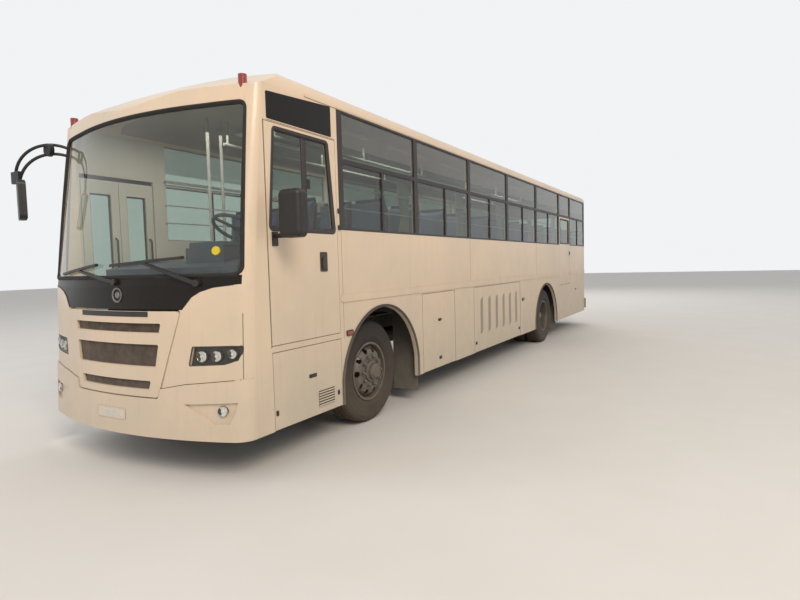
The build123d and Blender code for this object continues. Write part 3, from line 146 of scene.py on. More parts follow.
def surface(name, base, second, patch_mm, rough, dust=None, dust_top=1.3, dust_share=0.5, streaks=0.0,
            metallic=0.0, ior=1.5, grain_mm=2.0, grain=0.1, inside=None, inside_axis="X", coat=0.0):
    """Solid finish: two tones in patches, a fine grain, dust that thickens downwards, and run-down streaks.

    inside is a second colour for the faces that look inwards along inside_axis."""
    tree, out = start_material(name)
    coords = add_node(tree, "ShaderNodeTexCoord").outputs["Object"]
    patches = add_node(tree, "ShaderNodeTexNoise",
                       {"Scale": 1000.0 / patch_mm, "Detail": 5.0, "Roughness": 0.6},
                       {"Vector": coords}).outputs["Fac"]
    spread = add_node(tree, "ShaderNodeMapRange", {"From Min": 0.35, "From Max": 0.65}, {"Value": patches})
    colour = add_node(tree, "ShaderNodeMix", {"data_type": "RGBA", 6: linear(base), 7: linear(second)},
                      {0: spread.outputs["Result"]}).outputs[2]
    axes = add_node(tree, "ShaderNodeSeparateXYZ", None, {0: coords})
    if inside:
        normal = add_node(tree, "ShaderNodeNewGeometry").outputs["True Normal"]
        facing = add_node(tree, "ShaderNodeSeparateXYZ", None, {0: normal})
        if inside_axis == "Z":
            product = facing.outputs["Z"]
        else:
            product = add_node(tree, "ShaderNodeMath", {"operation": "MULTIPLY"},
                               {0: axes.outputs[inside_axis], 1: facing.outputs[inside_axis]}).outputs[0]
        inwards = add_node(tree, "ShaderNodeMath", {"operation": "LESS_THAN", 1: -0.2},
                           {0: product}).outputs[0]
        colour = add_node(tree, "ShaderNodeMix", {"data_type": "RGBA", 7: linear(inside)},
                          {0: inwards, 6: colour}).outputs[2]
    roughness = add_node(tree, "ShaderNodeMapRange", {"To Min": rough[0], "To Max": rough[1]},
                         {"Value": patches}).outputs["Result"]
    if dust:
        height = add_node(tree, "ShaderNodeMapRange",
                          {"From Min": dust_top, "From Max": FULL_DUST_Z, "To Max": dust_share},
                          {"Value": axes.outputs["Z"]}).outputs["Result"]
        cloud = add_node(tree, "ShaderNodeTexNoise", {"Scale": 5.0, "Detail": 7.0, "Roughness": 0.6},
                         {"Vector": coords}).outputs["Fac"]
        cloud = add_node(tree, "ShaderNodeMapRange",
                         {"From Min": 0.3, "From Max": 0.7, "To Min": 0.75, "To Max": 1.12},
                         {"Value": cloud}).outputs["Result"]
        amount = add_node(tree, "ShaderNodeMath", {"operation": "MULTIPLY", "use_clamp": True},
                          {0: height, 1: cloud}).outputs[0]
        colour = add_node(tree, "ShaderNodeMix", {"data_type": "RGBA", 7: linear(dust)},
                          {0: amount, 6: colour}).outputs[2]
        roughness = add_node(tree, "ShaderNodeMix", {"data_type": "FLOAT", 3: DUST_ROUGHNESS},
                             {0: amount, 2: roughness}).outputs[0]
    if streaks:
        runs = add_node(tree, "ShaderNodeMapping", {"Scale": (26.0, 26.0, 1.1)}, {"Vector": coords})
        runs = add_node(tree, "ShaderNodeTexNoise", {"Scale": 1.0, "Detail": 4.0},
                        {"Vector": runs.outputs["Vector"]}).outputs["Fac"]
        runs = add_node(tree, "ShaderNodeMapRange", {"From Min": 0.56, "From Max": 0.74, "To Max": streaks},
                        {"Value": runs}).outputs["Result"]
        colour = add_node(tree, "ShaderNodeMix", {"data_type": "RGBA", 7: linear(STREAK_COLOUR)},
                          {0: runs, 6: colour}).outputs[2]
    fine = add_node(tree, "ShaderNodeTexNoise", {"Scale": 1000.0 / grain_mm, "Detail": 2.0},
                    {"Vector": coords})
    bump = add_node(tree, "ShaderNodeBump", {"Strength": grain, "Distance": 0.001},
                    {"Height": fine.outputs["Fac"]})
    shader = add_node(tree, "ShaderNodeBsdfPrincipled",
                      {"Metallic": metallic, "IOR": ior, "Coat Weight": coat, "Coat Roughness": 0.08},
                      {"Base Color": colour, "Roughness": roughness, "Normal": bump.outputs["Normal"]})
    tree.links.new(shader.outputs[0], out.inputs[0])


# height over which the side glass is the dark fixed band, and the share of pale film laid on it as a painted
# reflection of the sky
BAND_Z = 2.72
BAND_SKY_REFLECTION = 0.22


def glazing(name, tint, film, film_share, mirror=1.0, band=None):
    """Glass pane: it passes light in its tint, mirrors more at a slant, and carries a dust film in clouds.

    band is a second tint for the glass over BAND_Z, where more pale film is laid on as a painted reflection
    of the sky."""
    tree, out = start_material(name)
    coords = add_node(tree, "ShaderNodeTexCoord").outputs["Object"]
    cloud = add_node(tree, "ShaderNodeTexNoise", {"Scale": 3.5, "Detail": 6.0, "Roughness": 0.6},
                     {"Vector": coords})
    cloud = add_node(tree, "ShaderNodeMapRange",
                     {"From Min": 0.3, "From Max": 0.75,
                      "To Min": film_share * 0.4, "To Max": film_share * 1.5},
                     {"Value": cloud.outputs["Fac"]}).outputs["Result"]
    clear = add_node(tree, "ShaderNodeBsdfTransparent", {"Color": linear(tint)})
    if band:
        height = add_node(tree, "ShaderNodeSeparateXYZ", None, {0: coords}).outputs["Z"]
        high = add_node(tree, "ShaderNodeMath", {"operation": "GREATER_THAN", 1: BAND_Z},
                        {0: height}).outputs[0]
        colour = add_node(tree, "ShaderNodeMix",
                          {"data_type": "RGBA", 6: linear(tint), 7: linear(band)}, {0: high})
        tree.links.new(colour.outputs[2], clear.inputs[0])
        # more pale film on the band: painted reflection of the sky
        cloud = add_node(tree, "ShaderNodeMath", {"operation": "MULTIPLY_ADD", 1: BAND_SKY_REFLECTION},
                         {0: high, 2: cloud}).outputs[0]
    dusty = add_node(tree, "ShaderNodeBsdfPrincipled",
                     {"Base Color": linear(film), "Roughness": 0.6, "IOR": 1.5})
    seen = add_node(tree, "ShaderNodeMixShader", None, {0: cloud, 1: clear.outputs[0], 2: dusty.outputs[0]})
    gloss = add_node(tree, "ShaderNodeBsdfGlossy",
                     {"Color": (mirror, mirror, mirror, 1.0), "Roughness": 0.03})
    slant = add_node(tree, "ShaderNodeFresnel", {"IOR": 1.5})
    pane = add_node(tree, "ShaderNodeMixShader", None,
                    {0: slant.outputs[0], 1: seen.outputs[0], 2: gloss.outputs[0]})
    # the far face of a pane lets all light through, since the near one has mirrored its share
    far = add_node(tree, "ShaderNodeNewGeometry").outputs["Backfacing"]
    through = add_node(tree, "ShaderNodeBsdfTransparent", {"Color": linear(tint)})
    shader = add_node(tree, "ShaderNodeMixShader", None, {0: far, 1: pane.outputs[0], 2: through.outputs[0]})
    tree.links.new(shader.outputs[0], out.inputs[0])


def lens(name, tint, glow=0.0):
    """Moulded lamp plastic: clear or dyed, ribbed inside, with a wet shine."""
    tree, out = start_material(name)
    coords = add_node(tree, "ShaderNodeTexCoord").outputs["Object"]
    ribs = add_node(tree, "ShaderNodeTexWave", {"Scale": 55.0, "wave_type": "BANDS", "bands_direction": "Z"},
                    {"Vector": coords})
    bump = add_node(tree, "ShaderNodeBump", {"Strength": 0.35, "Distance": 0.002},
                    {"Height": ribs.outputs["Fac"]})
    shade = add_node(tree, "ShaderNodeTexNoise", {"Scale": 30.0, "Detail": 3.0},
                     {"Vector": coords}).outputs["Fac"]
    shade = add_node(tree, "ShaderNodeMapRange", {"To Min": 0.08, "To Max": 0.2}, {"Value": shade})
    shader = add_node(tree, "ShaderNodeBsdfPrincipled",
                      {"Base Color": linear(tint), "IOR": 1.49, "Coat Weight": 0.6, "Coat Roughness": 0.04,
                       "Emission Color": linear(tint), "Emission Strength": glow},
                      {"Roughness": shade.outputs["Result"], "Normal": bump.outputs["Normal"]})
    tree.links.new(shader.outputs[0], out.inputs[0])


def cloth(name, base, second, thread_mm, sheen=0.3):
    """Woven cloth: crossing threads drawn coarse enough to show, two shades, soft sheen."""
    tree, out = start_material(name)
    coords = add_node(tree, "ShaderNodeTexCoord").outputs["Object"]
    threads = []
    for direction in ("Y", "Z"):
        threads.append(add_node(tree, "ShaderNodeTexWave",
                                {"Scale": 1000.0 / thread_mm / 6.28, "bands_direction": direction,
                                 "Distortion": 0.4},
                                {"Vector": coords}).outputs["Fac"])
    weave = add_node(tree, "ShaderNodeMath", {"operation": "MULTIPLY"},
                     {0: threads[0], 1: threads[1]}).outputs[0]
    patches = add_node(tree, "ShaderNodeTexNoise", {"Scale": 14.0, "Detail": 5.0},
                       {"Vector": coords}).outputs["Fac"]
    blend = add_node(tree, "ShaderNodeMath", {"operation": "MULTIPLY_ADD", 1: 0.4},
                     {0: weave, 2: patches}).outputs[0]
    spread = add_node(tree, "ShaderNodeMapRange", {"From Min": 0.4, "From Max": 0.9}, {"Value": blend})
    colour = add_node(tree, "ShaderNodeMix", {"data_type": "RGBA", 6: linear(base), 7: linear(second)},
                      {0: spread.outputs["Result"]}).outputs[2]
    bump = add_node(tree, "ShaderNodeBump", {"Strength": 0.4, "Distance": 0.001}, {"Height": weave})
    shader = add_node(tree, "ShaderNodeBsdfPrincipled", {"Roughness": 0.9, "Sheen Weight": sheen, "IOR": 1.5},
                      {"Base Color": colour, "Normal": bump.outputs["Normal"]})
    tree.links.new(shader.outputs[0], out.inputs[0])


def make_finishes(colours):
    """All finishes of the coach, each named for the real material and how it was worked."""
    dust = colours.dust
    # Sheet steel, sprayed cream years ago: chalky shine, growing greyer and more matt towards the skirt, with
    # water runs
    surface("sprayed_steel_cream", colours.cream, colours.cream_faded, 900, (0.32, 0.46), dust=dust,
            dust_top=1.9, dust_share=0.78, streaks=0.10, grain_mm=6, grain=0.03, inside="#B9B4A8", coat=0.15)
    # Roof sheet, the same paint, with a pale laminate ceiling below
    surface("sprayed_roof_cream", colours.cream, colours.cream_faded, 1200, (0.35, 0.5), dust=dust,
            dust_top=0.3, streaks=0.05, grain_mm=6, grain=0.03, inside="#A59C90", inside_axis="Z", coat=0.1)
    # Glass-fibre mouldings of the front, cream gel coat: smoother than the sheet, a little chalked
    surface("gelcoat_cream", colours.cream, colours.cream_faded, 700, (0.28, 0.4), dust=dust, dust_top=1.5,
            dust_share=0.52, streaks=0.08, grain_mm=9, grain=0.03, inside="#7D7870", inside_axis="Y",
            coat=0.2)
    # Black acrylic panel: deep gloss under a thin film of dust
    surface("gloss_black_panel", colours.black, "#1B1613", 300, (0.22, 0.36), dust=dust, dust_top=2.0,
            dust_share=0.03, grain_mm=4, grain=0.02, ior=1.28)
    # Powder-coated aluminium of the window frames: brown-black, half matt
    surface("powder_coated_frames", colours.frames, "#2B2120", 250, (0.4, 0.55), dust=dust, dust_top=2.6,
            dust_share=0.12, grain_mm=1.2, grain=0.08)
    # Moulded rubber: matt, greyed by sand
    surface("moulded_rubber", "#161412", "#25211D", 120, (0.65, 0.8), dust=dust, dust_top=1.5,
            dust_share=0.35, grain_mm=1.5, grain=0.15)
    # Tyre rubber: brown-grey with sand worked into tread and bead
    surface("tyre_rubber_sandy", "#141210", "#211D19", 90, (0.75, 0.9), dust="#6B5E4E", dust_top=1.1,
            dust_share=0.42, grain_mm=2, grain=0.3)
    # Pressed steel wheels in dull silver, brake dust in the hollows
    surface("sprayed_wheel_steel", colours.rim, "#5C5750", 60, (0.4, 0.6), dust="#7A6B58", dust_top=1.0,
            dust_share=0.28, metallic=0.35, grain_mm=3, grain=0.15)
    # Frame and axles: black chassis paint under road dirt
    surface("chassis_black_paint", "#1B1917", "#35302A", 140, (0.5, 0.75), dust="#7D6F5C", dust_top=1.2,
            dust_share=0.6, grain_mm=4, grain=0.3)
    # Radiator fins behind the grille: soot black; the same black lines the louvre slots as painted shade
    surface("radiator_black_and_slot_shade", "#0C0B0A", "#161412", 40, (0.6, 0.8), grain_mm=2, grain=0.2)
    # Galvanised and painted sheet of tank and exhaust: dull, half hidden by road dirt
    surface("tank_sheet", "#2A2927", "#45413B", 180, (0.4, 0.6), dust="#7D6F5C", dust_top=1.2, dust_share=0.5,
            metallic=0.2, grain_mm=4, grain=0.15)
    # Expanded steel mesh of the grille: brown-grey paint, sand in the corners
    surface("grille_mesh_steel", "#66564A", "#4A3D33", 60, (0.5, 0.7), dust=dust, dust_top=1.4,
            dust_share=0.35, metallic=0.2, grain_mm=2, grain=0.2)
    # Black moulded polypropylene of mirrors, handles and lamp trays
    surface("moulded_black_plastic", "#15110F", "#1F1A17", 80, (0.38, 0.5), dust=dust, dust_top=2.4,
            dust_share=0.06, grain_mm=1.0, grain=0.18)
    # Dash moulding: blue-grey ABS with a leather grain
    surface("grained_dash_abs", "#3A4048", "#454B52", 150, (0.5, 0.65), grain_mm=2.5, grain=0.35)
    # Vinyl flooring over plywood, underside left as dusty ply
    surface("vinyl_floor", "#4C4D50", "#5D5C5A", 200, (0.5, 0.7), dust="#8E8069", dust_top=1.1,
            dust_share=0.6, grain_mm=3, grain=0.25)
    # Grey powder-coated tube of poles and guard bars
    surface("powder_coated_tube", "#B4B2AC", "#9C9A94", 120, (0.3, 0.45), metallic=0.3, grain_mm=1.5,
            grain=0.05)
    # Bright polished steel of the lamp rings
    surface("polished_bright_steel", "#D8D8D6", "#C4C2BE", 30, (0.08, 0.18), metallic=1.0, grain_mm=5,
            grain=0.02)
    # Aluminised lamp reflector: pale, finely beaded, catching light from all round
    surface("lamp_reflector", "#F2F1EC", "#E2E0D8", 12, (0.3, 0.4), metallic=0.5, grain_mm=2.5, grain=0.5)
    # Brushed grey metal of the plain badge ring, weathered dull
    surface("brushed_grey_metal", "#8F8C88", "#6E6B67", 20, (0.35, 0.5), metallic=0.7, grain_mm=1.5,
            grain=0.2)
    # Silvered glass of the mirrors: a true mirror with the faintest film
    surface("silvered_glass", "#C9CED1", "#BFC4C8", 200, (0.03, 0.08), metallic=1.0, grain_mm=20, grain=0.01)
    # Zinc-plated fixings, dulled to a soft grey shine
    surface("zinc_plated_steel", "#8E8A82", "#6F6A62", 15, (0.35, 0.55), metallic=0.8, grain_mm=1, grain=0.2)
    # Aluminium sheet of the bare plates, painted off-white
    surface("bare_plate_sheet", "#DCD3C4", "#CFC6B7", 60, (0.4, 0.55), dust=dust, dust_top=1.5,
            dust_share=0.4, grain_mm=3, grain=0.05)
    # Yellow vinyl disc, left plain
    surface("yellow_vinyl", "#D8C21F", "#C9B42A", 20, (0.35, 0.5), grain_mm=2, grain=0.03)
    # Float glass of the windscreen: faint green, dusty outside
    glazing("float_glass_clear", "#EEF3F1", "#A9A39A", 0.05)
    # Grey-green tinted safety glass of the sliding panes, darker in the fixed upper band, which also takes a
    # painted reflection of the sky
    glazing("tinted_glass_grey", "#D0D9D3", "#8A877E", 0.06, band="#95A19A")
    # Clear polycarbonate over the headlamps, lightly hazed
    glazing("lamp_cover_glass", "#F4F5F3", "#C9C2B4", 0.03, mirror=0.5)
    # Moulded acrylic of the lamp glasses, clear and dyed: wet shine over fine ribs
    lens("clear_lens", "#D9DCDC")
    lens("amber_lens", "#D9641B", glow=0.05)
    lens("red_lens", "#A3160F", glow=0.03)
    lens("orange_red_lens", "#8A2A18", glow=0.02)
    # Woven polyester of the seats: matt blue-grey with a soft sheen, threads drawn coarse to show
    cloth("woven_seat_cover", colours.seat, "#39455A", 4.0)
    # Plain-woven curtain cloth, faded green-grey, threads drawn coarse to show
    cloth("pleated_curtain_cloth", colours.curtain, "#777660", 3.0, sheen=0.15)
    # Opal acrylic of the light covers: even, milky, half gloss
    surface("light_diffuser", "#E9E6DC", "#DEDBD2", 200, (0.3, 0.4), grain_mm=3, grain=0.05)


# Finish of each fixed node
FINISH_OF = {
    "sprayed_steel_cream": "left_side right_side rear_wall driver_door escape_door entry_leaf_front "
                           "entry_leaf_rear service_flap battery_flap louvre_flap locker_flap",
    "sprayed_roof_cream": "roof",
    "gelcoat_cream": "front_cap front_bumper grille_panel rear_bumper roof_hatches",
    "gloss_black_panel": "mask_panel",
    "powder_coated_frames": "window_frames",
    "moulded_rubber": "arch_lips mud_flaps",
    "tyre_rubber_sandy": "tyre_front_left tyre_front_right tyres_rear_left tyres_rear_right",
    "sprayed_wheel_steel": "rim_front_left rim_front_right rims_rear_left rims_rear_right",
    "chassis_black_paint": "chassis_frame front_axle rear_axle drive_line knuckle_left knuckle_right",
    "tank_sheet": "fuel_tank exhaust",
    "grille_mesh_steel": "grille_mesh",
    "moulded_black_plastic": "left_mirror right_mirror front_lamps wipers",
    "grained_dash_abs": "dashboard steering_wheel",
    "vinyl_floor": "floor entry_steps",
    "powder_coated_tube": "grab_rails",
    "float_glass_clear": "windscreen",
    "tinted_glass_grey": "window_glass driver_glass escape_glass entry_glass_front entry_glass_rear",
    "red_lens": "tail_lamps",
    "orange_red_lens": "marker_lamps",
    "woven_seat_cover": "seats driver_seat",
    "pleated_curtain_cloth": "curtains",
}


class COACH_OT_finishes(bpy.types.Operator):
    """Makes the finishes and gives each fixed node its own"""

    bl_idname = "coach.finishes"
    bl_label = "Finishes of the fixed nodes"

    def execute(self, context):
        make_finishes(context.scene.coach_colours)
        for finish, names in FINISH_OF.items():
            for name in names.split():
                node = NODES[name]
                if not node.material_slots:
                    node.data.materials.append(FINISH[finish])
                for slot in node.material_slots:
                    slot.material = FINISH[finish]
        return {"FINISHED"}


def front_plan(z):
    """Centre, shoulder, corner and flank y of the front at one height."""
    low, high = FRONT_PLANS[:2] if z <= FRONT_PLANS[1][0] else FRONT_PLANS[1:]
    share = max((z - low[0]) / (high[0] - low[0]), 0.0)
    return [start + share * (end - start) for start, end in zip(low[1:], high[1:])]


def front_at(x, z):
    """Point of the curved front."""
    centre, shoulder, corner, flank = front_plan(z)
    reach = abs(x)
    if reach <= SHOULDER_X:
        rise = shoulder - centre
        radius = (SHOULDER_X ** 2 + rise ** 2) / (2.0 * rise)
        y = centre + radius - math.sqrt(radius ** 2 - reach ** 2)
    elif reach <= CORNER_X:
        share = (reach - SHOULDER_X) / (CORNER_X - SHOULDER_X)
        y = shoulder + share * (corner - shoulder) - SHOULDER_BULGE * 4.0 * share * (1.0 - share)
    else:
        # the share along the corner's bulged chord that has this x is found by halving
        span_x, span_y = SIDE_X - CORNER_X, flank - corner
        length = math.hypot(span_x, span_y)
        low, high = 0.0, 1.0
        for _ in range(24):
            share = (low + high) / 2.0
            bulge = CORNER_BULGE * 4.0 * share * (1.0 - share)
            if CORNER_X + share * span_x + bulge * span_y / length < reach:
                low = share
            else:
                high = share
        y = corner + share * span_y - bulge * span_x / length
    return Vector((x, y, z))


def front_normal(x, z):
    """Outward normal of the curved front."""
    step = 0.003
    across = front_at(x + step, z) - front_at(x - step, z)
    upward = front_at(x, z + step) - front_at(x, z - step)
    return across.cross(upward).normalized()


def on_front(outline):
    """Points of an outline in x and z, with their normals, on the front."""
    return [(front_at(x, z), front_normal(x, z)) for x, z in outline]


def on_side(side, outline):
    """Points of an outline in y and z, with their normals, on one side wall."""
    return [(Vector((side * SIDE_X, y, z)), Vector((side, 0.0, 0.0))) for y, z in outline]


def on_rear(outline, proud=0.0):
    """Points of an outline in x and z, with their normals, on the rear wall or that far behind it."""
    return [(Vector((x, REAR_Y + proud, z)), Vector((0.0, 1.0, 0.0))) for x, z in outline]


def rounded(points, radius, steps=5):
    """Closed outline with its corners rounded."""
    result = []
    for i, point in enumerate(points):
        here = Vector(point)
        back = (Vector(points[i - 1]) - here).normalized()
        ahead = (Vector(points[(i + 1) % len(points)]) - here).normalized()
        half = math.acos(max(-1.0, min(1.0, back.dot(ahead)))) / 2.0
        if half > 1.5:
            result.append(here)
            continue
        centre = here + (back + ahead).normalized() * (radius / math.sin(half))
        reach = radius / math.tan(half)
        first, last = here + back * reach - centre, here + ahead * reach - centre
        for k in range(steps + 1):
            share = k / steps
            result.append(centre + (first * (1.0 - share) + last * share).normalized() * radius)
    return result


def rectangle(low_u, high_u, low_v, high_v, radius):
    """Closed outline of an upright rectangle with its corners rounded."""
    return rounded([(low_u, low_v), (high_u, low_v), (high_u, high_v), (low_u, high_v)], radius)


def centred(u, v, half_u, half_v, radius):
    """Rounded rectangle round a middle."""
    return rectangle(u - half_u, u + half_u, v - half_v, v + half_v, radius)


def dense(points, step, closed=True):
    """Outline with its long runs divided."""
    result = []
    count = len(points)
    for i in range(count if closed else count - 1):
        start, end = Vector(points[i]), Vector(points[(i + 1) % count])
        parts = max(1, round((end - start).length / step))
        result += [start.lerp(end, k / parts) for k in range(parts)]
    if not closed:
        result.append(Vector(points[-1]))
    return result


def skin(bm, rings, index, closed=False, caps=2):
    """Faces between rings of vertices; closed joins the last ring to the first, caps fills both ends or
    the last."""
    count = len(rings)
    for i in range(count if closed else count - 1):
        first, second = rings[i], rings[(i + 1) % count]
        for j in range(len(first)):
            k = (j + 1) % len(first)
            bm.faces.new((first[j], first[k], second[k], second[j])).material_index = index
    for ring in [] if closed else [rings[0], rings[-1]][2 - caps:]:
        bm.faces.new(ring).material_index = index


def ribbon(bm, path, width, low, high, closed=True, index=0):
    """Strip laid along points with normals, its top edges taken off."""
    count = len(path)
    half = width / 2.0
    ease = min(0.4 * (high - low), 0.25 * width)
    section = [(-half, low), (-half, high - ease), (ease - half, high), (half - ease, high),
               (half, high - ease), (half, low)]
    rings = []
    for i, (point, normal) in enumerate(path):
        before = path[i - 1][0] if closed or i else point
        after = path[(i + 1) % count][0] if closed or i < count - 1 else point
        across = (after - before).cross(normal).normalized()
        rings.append([bm.verts.new(point + across * u + normal * v) for u, v in section])
    skin(bm, rings, index, closed)


def strip(bm, path, width, low, high, index=0):
    """Ribbon with two free ends."""
    ribbon(bm, path, width, low, high, closed=False, index=index)


def prism(bm, outline, place, low, high, index=0):
    """Prism of a flat outline; place(u, v, depth) gives its points."""
    skin(bm, [[bm.verts.new(place(u, v, depth)) for u, v in outline] for depth in (low, high)], index)


def box(bm, x, y, z, index=0):
    """Block given by its limits along each axis."""
    corners = [(x[0], y[0]), (x[1], y[0]), (x[1], y[1]), (x[0], y[1])]
    prism(bm, corners, lambda u, v, w: Vector((u, v, w)), *z, index)


def side_place(side):
    """Places points of one side wall: y, z and the distance outwards."""
    return lambda u, v, w: Vector((side * (SIDE_X + w), u, v))


def lathe(bm, profile, origin, axis, turns=32, index=0, ring=False):
    """Turned form from a profile of (radius, distance along the axis); ring joins its ends."""
    axis = Vector(axis).normalized()
    first = axis.orthogonal().normalized()
    second = axis.cross(first)
    rings = []
    for i in range(turns):
        angle = math.tau * i / turns
        out = first * math.cos(angle) + second * math.sin(angle)
        rings.append([bm.verts.new(Vector(origin) + out * radius + axis * along)
                      for radius, along in profile])
    for i in range(turns):
        here, after = rings[i], rings[(i + 1) % turns]
        for j in range(len(profile) if ring else len(profile) - 1):
            k = (j + 1) % len(profile)
            bm.faces.new((here[j], here[k], after[k], after[j])).material_index = index


def tube(bm, points, radius, sides=10, index=0):
    """Round bar along points."""
    points = [Vector(point) for point in points]
    rings = []
    guide = None
    for i, point in enumerate(points):
        along = (points[min(i + 1, len(points) - 1)] - points[max(i - 1, 0)]).normalized()
        guide = along.orthogonal() if guide is None else guide - along * guide.dot(along)
        guide = guide.normalized()
        other = along.cross(guide)
        rings.append([bm.verts.new(point + radius * (guide * math.cos(math.tau * k / sides)
                                                     + other * math.sin(math.tau * k / sides)))
                      for k in range(sides)])
    skin(bm, rings, index)


# distance under which points are welded, and the angle over which an edge is bevelled
WELD = 0.00002
BEVEL_ANGLE = math.radians(40.0)


def make(name, bm, body, finishes, bevel=0.0, replaces=(), angle=32.0):
    """Piece from a mesh in work: welded, smoothed by angle, given its finishes, and riding on a body."""
    bmesh.ops.remove_doubles(bm, verts=bm.verts, dist=WELD)
    bmesh.ops.dissolve_degenerate(bm, edges=bm.edges, dist=WELD)
    bmesh.ops.recalc_face_normals(bm, faces=bm.faces)
    for face in bm.faces:
        face.smooth = True
    for edge in bm.edges:
        edge.smooth = len(edge.link_faces) == 2 and edge.calc_face_angle(0.0) < math.radians(angle)
    mesh = bpy.data.meshes.new(name)
    bm.to_mesh(mesh)
    bm.free()
    for finish in finishes:
        mesh.materials.append(FINISH[finish])
    piece = bpy.data.objects.new(name, mesh)
    bpy.context.scene.collection.objects.link(piece)
    if bevel:
        edges = piece.modifiers.new("edges", "BEVEL")
        edges.width = bevel
        edges.segments = 2
        edges.limit_method = "ANGLE"
        edges.angle_limit = BEVEL_ANGLE
    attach(piece, body)
    if replaces:
        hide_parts(*replaces)
    return piece


# x and z of the windscreen's corners
SCREEN_OUTLINE = [(1.205, 1.575), (1.162, 2.885), (-1.162, 2.885), (-1.205, 1.575)]
# top and half width there, lower edge and half width there, of each window of the grille
MESH_WINDOWS = [(1.214, 0.552, 1.143, 0.535), (1.050, 0.527, 0.879, 0.497), (0.766, 0.448, 0.700, 0.428)]
# fascia seams beside the lamps, the bumper's upper joint, and the pillar joint under the screen
FRONT_SEAMS = [
    [(1.209, 0.80), (1.209, 1.05), (1.209, 1.29)],
    [(0.53, 0.709), (0.759, 0.753), (1.243, 0.8)],
    [(0.74, 1.318), (0.825, 1.415), (0.897, 1.455), (1.0, 1.485), (1.2, 1.507)],
]
# half length and heights of the strip over the grille, x and z of the badge and of the disc
NAME_STRIP_HALF = 0.427
NAME_STRIP_Z = (1.266, 1.304)
BADGE_PLACE = (0.084, 1.434)
DISC_PLACE = (1.002, 1.76)
# middle of the plate panel's lowest band, the pitch and the number of its bands
PLATE_BAND_Z = 0.454
PLATE_BAND_PITCH = 0.0168
PLATE_BANDS = 5


class COACH_OT_windscreen_rubber(bpy.types.Operator):
    """Lays the rubber round the windscreen, with its locking strip"""

    bl_idname = "coach.windscreen_rubber"
    bl_label = "Windscreen rubber"

    def execute(self, context):
        width = context.scene.coach_sizes.gasket
        path = on_front(dense(rounded(SCREEN_OUTLINE, 0.06), 0.06))
        bm = bmesh.new()
        ribbon(bm, path, width, -0.016, 0.006)
        ribbon(bm, path, width * 0.25, 0.004, 0.009)
        make("windscreen_rubber", bm, "coach", ["moulded_rubber"])
        return {"FINISHED"}


class COACH_OT_front_trim(bpy.types.Operator):
    """Adds the seams, plain name strip, badge ring, plate panel and disc of the front"""

    bl_idname = "coach.front_trim"
    bl_label = "Trim of the front"

    def execute(self, context):
        bm = bmesh.new()
        for side in (1, -1):
            for points in FRONT_SEAMS:
                line = dense([(side * x, z) for x, z in points], 0.05, closed=False)
                strip(bm, on_front(line), 0.005, -0.004, 0.0015)
        make("front_seams", bm, "coach", ["moulded_rubber"])

        # strip over the grille: a raised edge round a plain face
        bm = bmesh.new()
        edge = dense(rectangle(-NAME_STRIP_HALF, NAME_STRIP_HALF, *NAME_STRIP_Z, 0.006), 0.05)
        ribbon(bm, on_front(edge), 0.003, 0.004, 0.008)
        middle_z = sum(NAME_STRIP_Z) / 2.0
        middle = dense([(-NAME_STRIP_HALF, middle_z), (NAME_STRIP_HALF, middle_z)], 0.05, closed=False)
        strip(bm, on_front(middle), 0.036, 0.004, 0.0065)
        make("plain_name_strip", bm, "grille_flap", ["moulded_black_plastic"])

        # badge: a ring round a low boss
        bm = bmesh.new()
        out = front_normal(*BADGE_PLACE)
        place = front_at(*BADGE_PLACE) - out * 0.003
        lathe(bm, [(0.046, 0.0), (0.046, 0.004), (0.052, 0.009), (0.060, 0.006), (0.060, 0.0)],
              place, out, 40)
        lathe(bm, [(0.0, 0.007), (0.022, 0.006), (0.028, 0.0)], place, out, 24)
        make("plain_badge_ring", bm, "coach", ["brushed_grey_metal"])

        # plate panel: a raised frame round the bands that make up its face
        bm = bmesh.new()
        ribbon(bm, on_front(dense(rectangle(-0.184, 0.173, 0.445, 0.53, 0.008), 0.05)), 0.006, 0.012, 0.019)
        for row in range(PLATE_BANDS):
            z = PLATE_BAND_Z + row * PLATE_BAND_PITCH
            band = dense([(-0.18, z), (0.169, z)], 0.05, closed=False)
            strip(bm, on_front(band), 0.0175, 0.011, 0.016, index=1)
        make("bare_plate_panel", bm, "coach", ["gelcoat_cream", "bare_plate_sheet"])

        bm = bmesh.new()
        lathe(bm, [(0.0, 0.0015), (0.032, 0.0015), (0.033, -0.012)], front_at(*DISC_PLACE),
              front_normal(*DISC_PLACE), 32)
        make("plain_disc", bm, "coach", ["yellow_vinyl"])
        return {"FINISHED"}


# x, y and z limits of the radiator, and the number, lowest edge, pitch and height of its fins
RADIATOR = ((-0.58, 0.58), (-5.945, -5.915), (0.66, 1.25))
FIN_COUNT = 46
FIN_Z = 0.672
FIN_PITCH = 0.0125
FIN_HEIGHT = 0.004
# height of one diamond of the mesh as a share of its width, and how far the beads stand outside the windows
CELL_RISE = 0.45
BEAD_GROW = 0.004


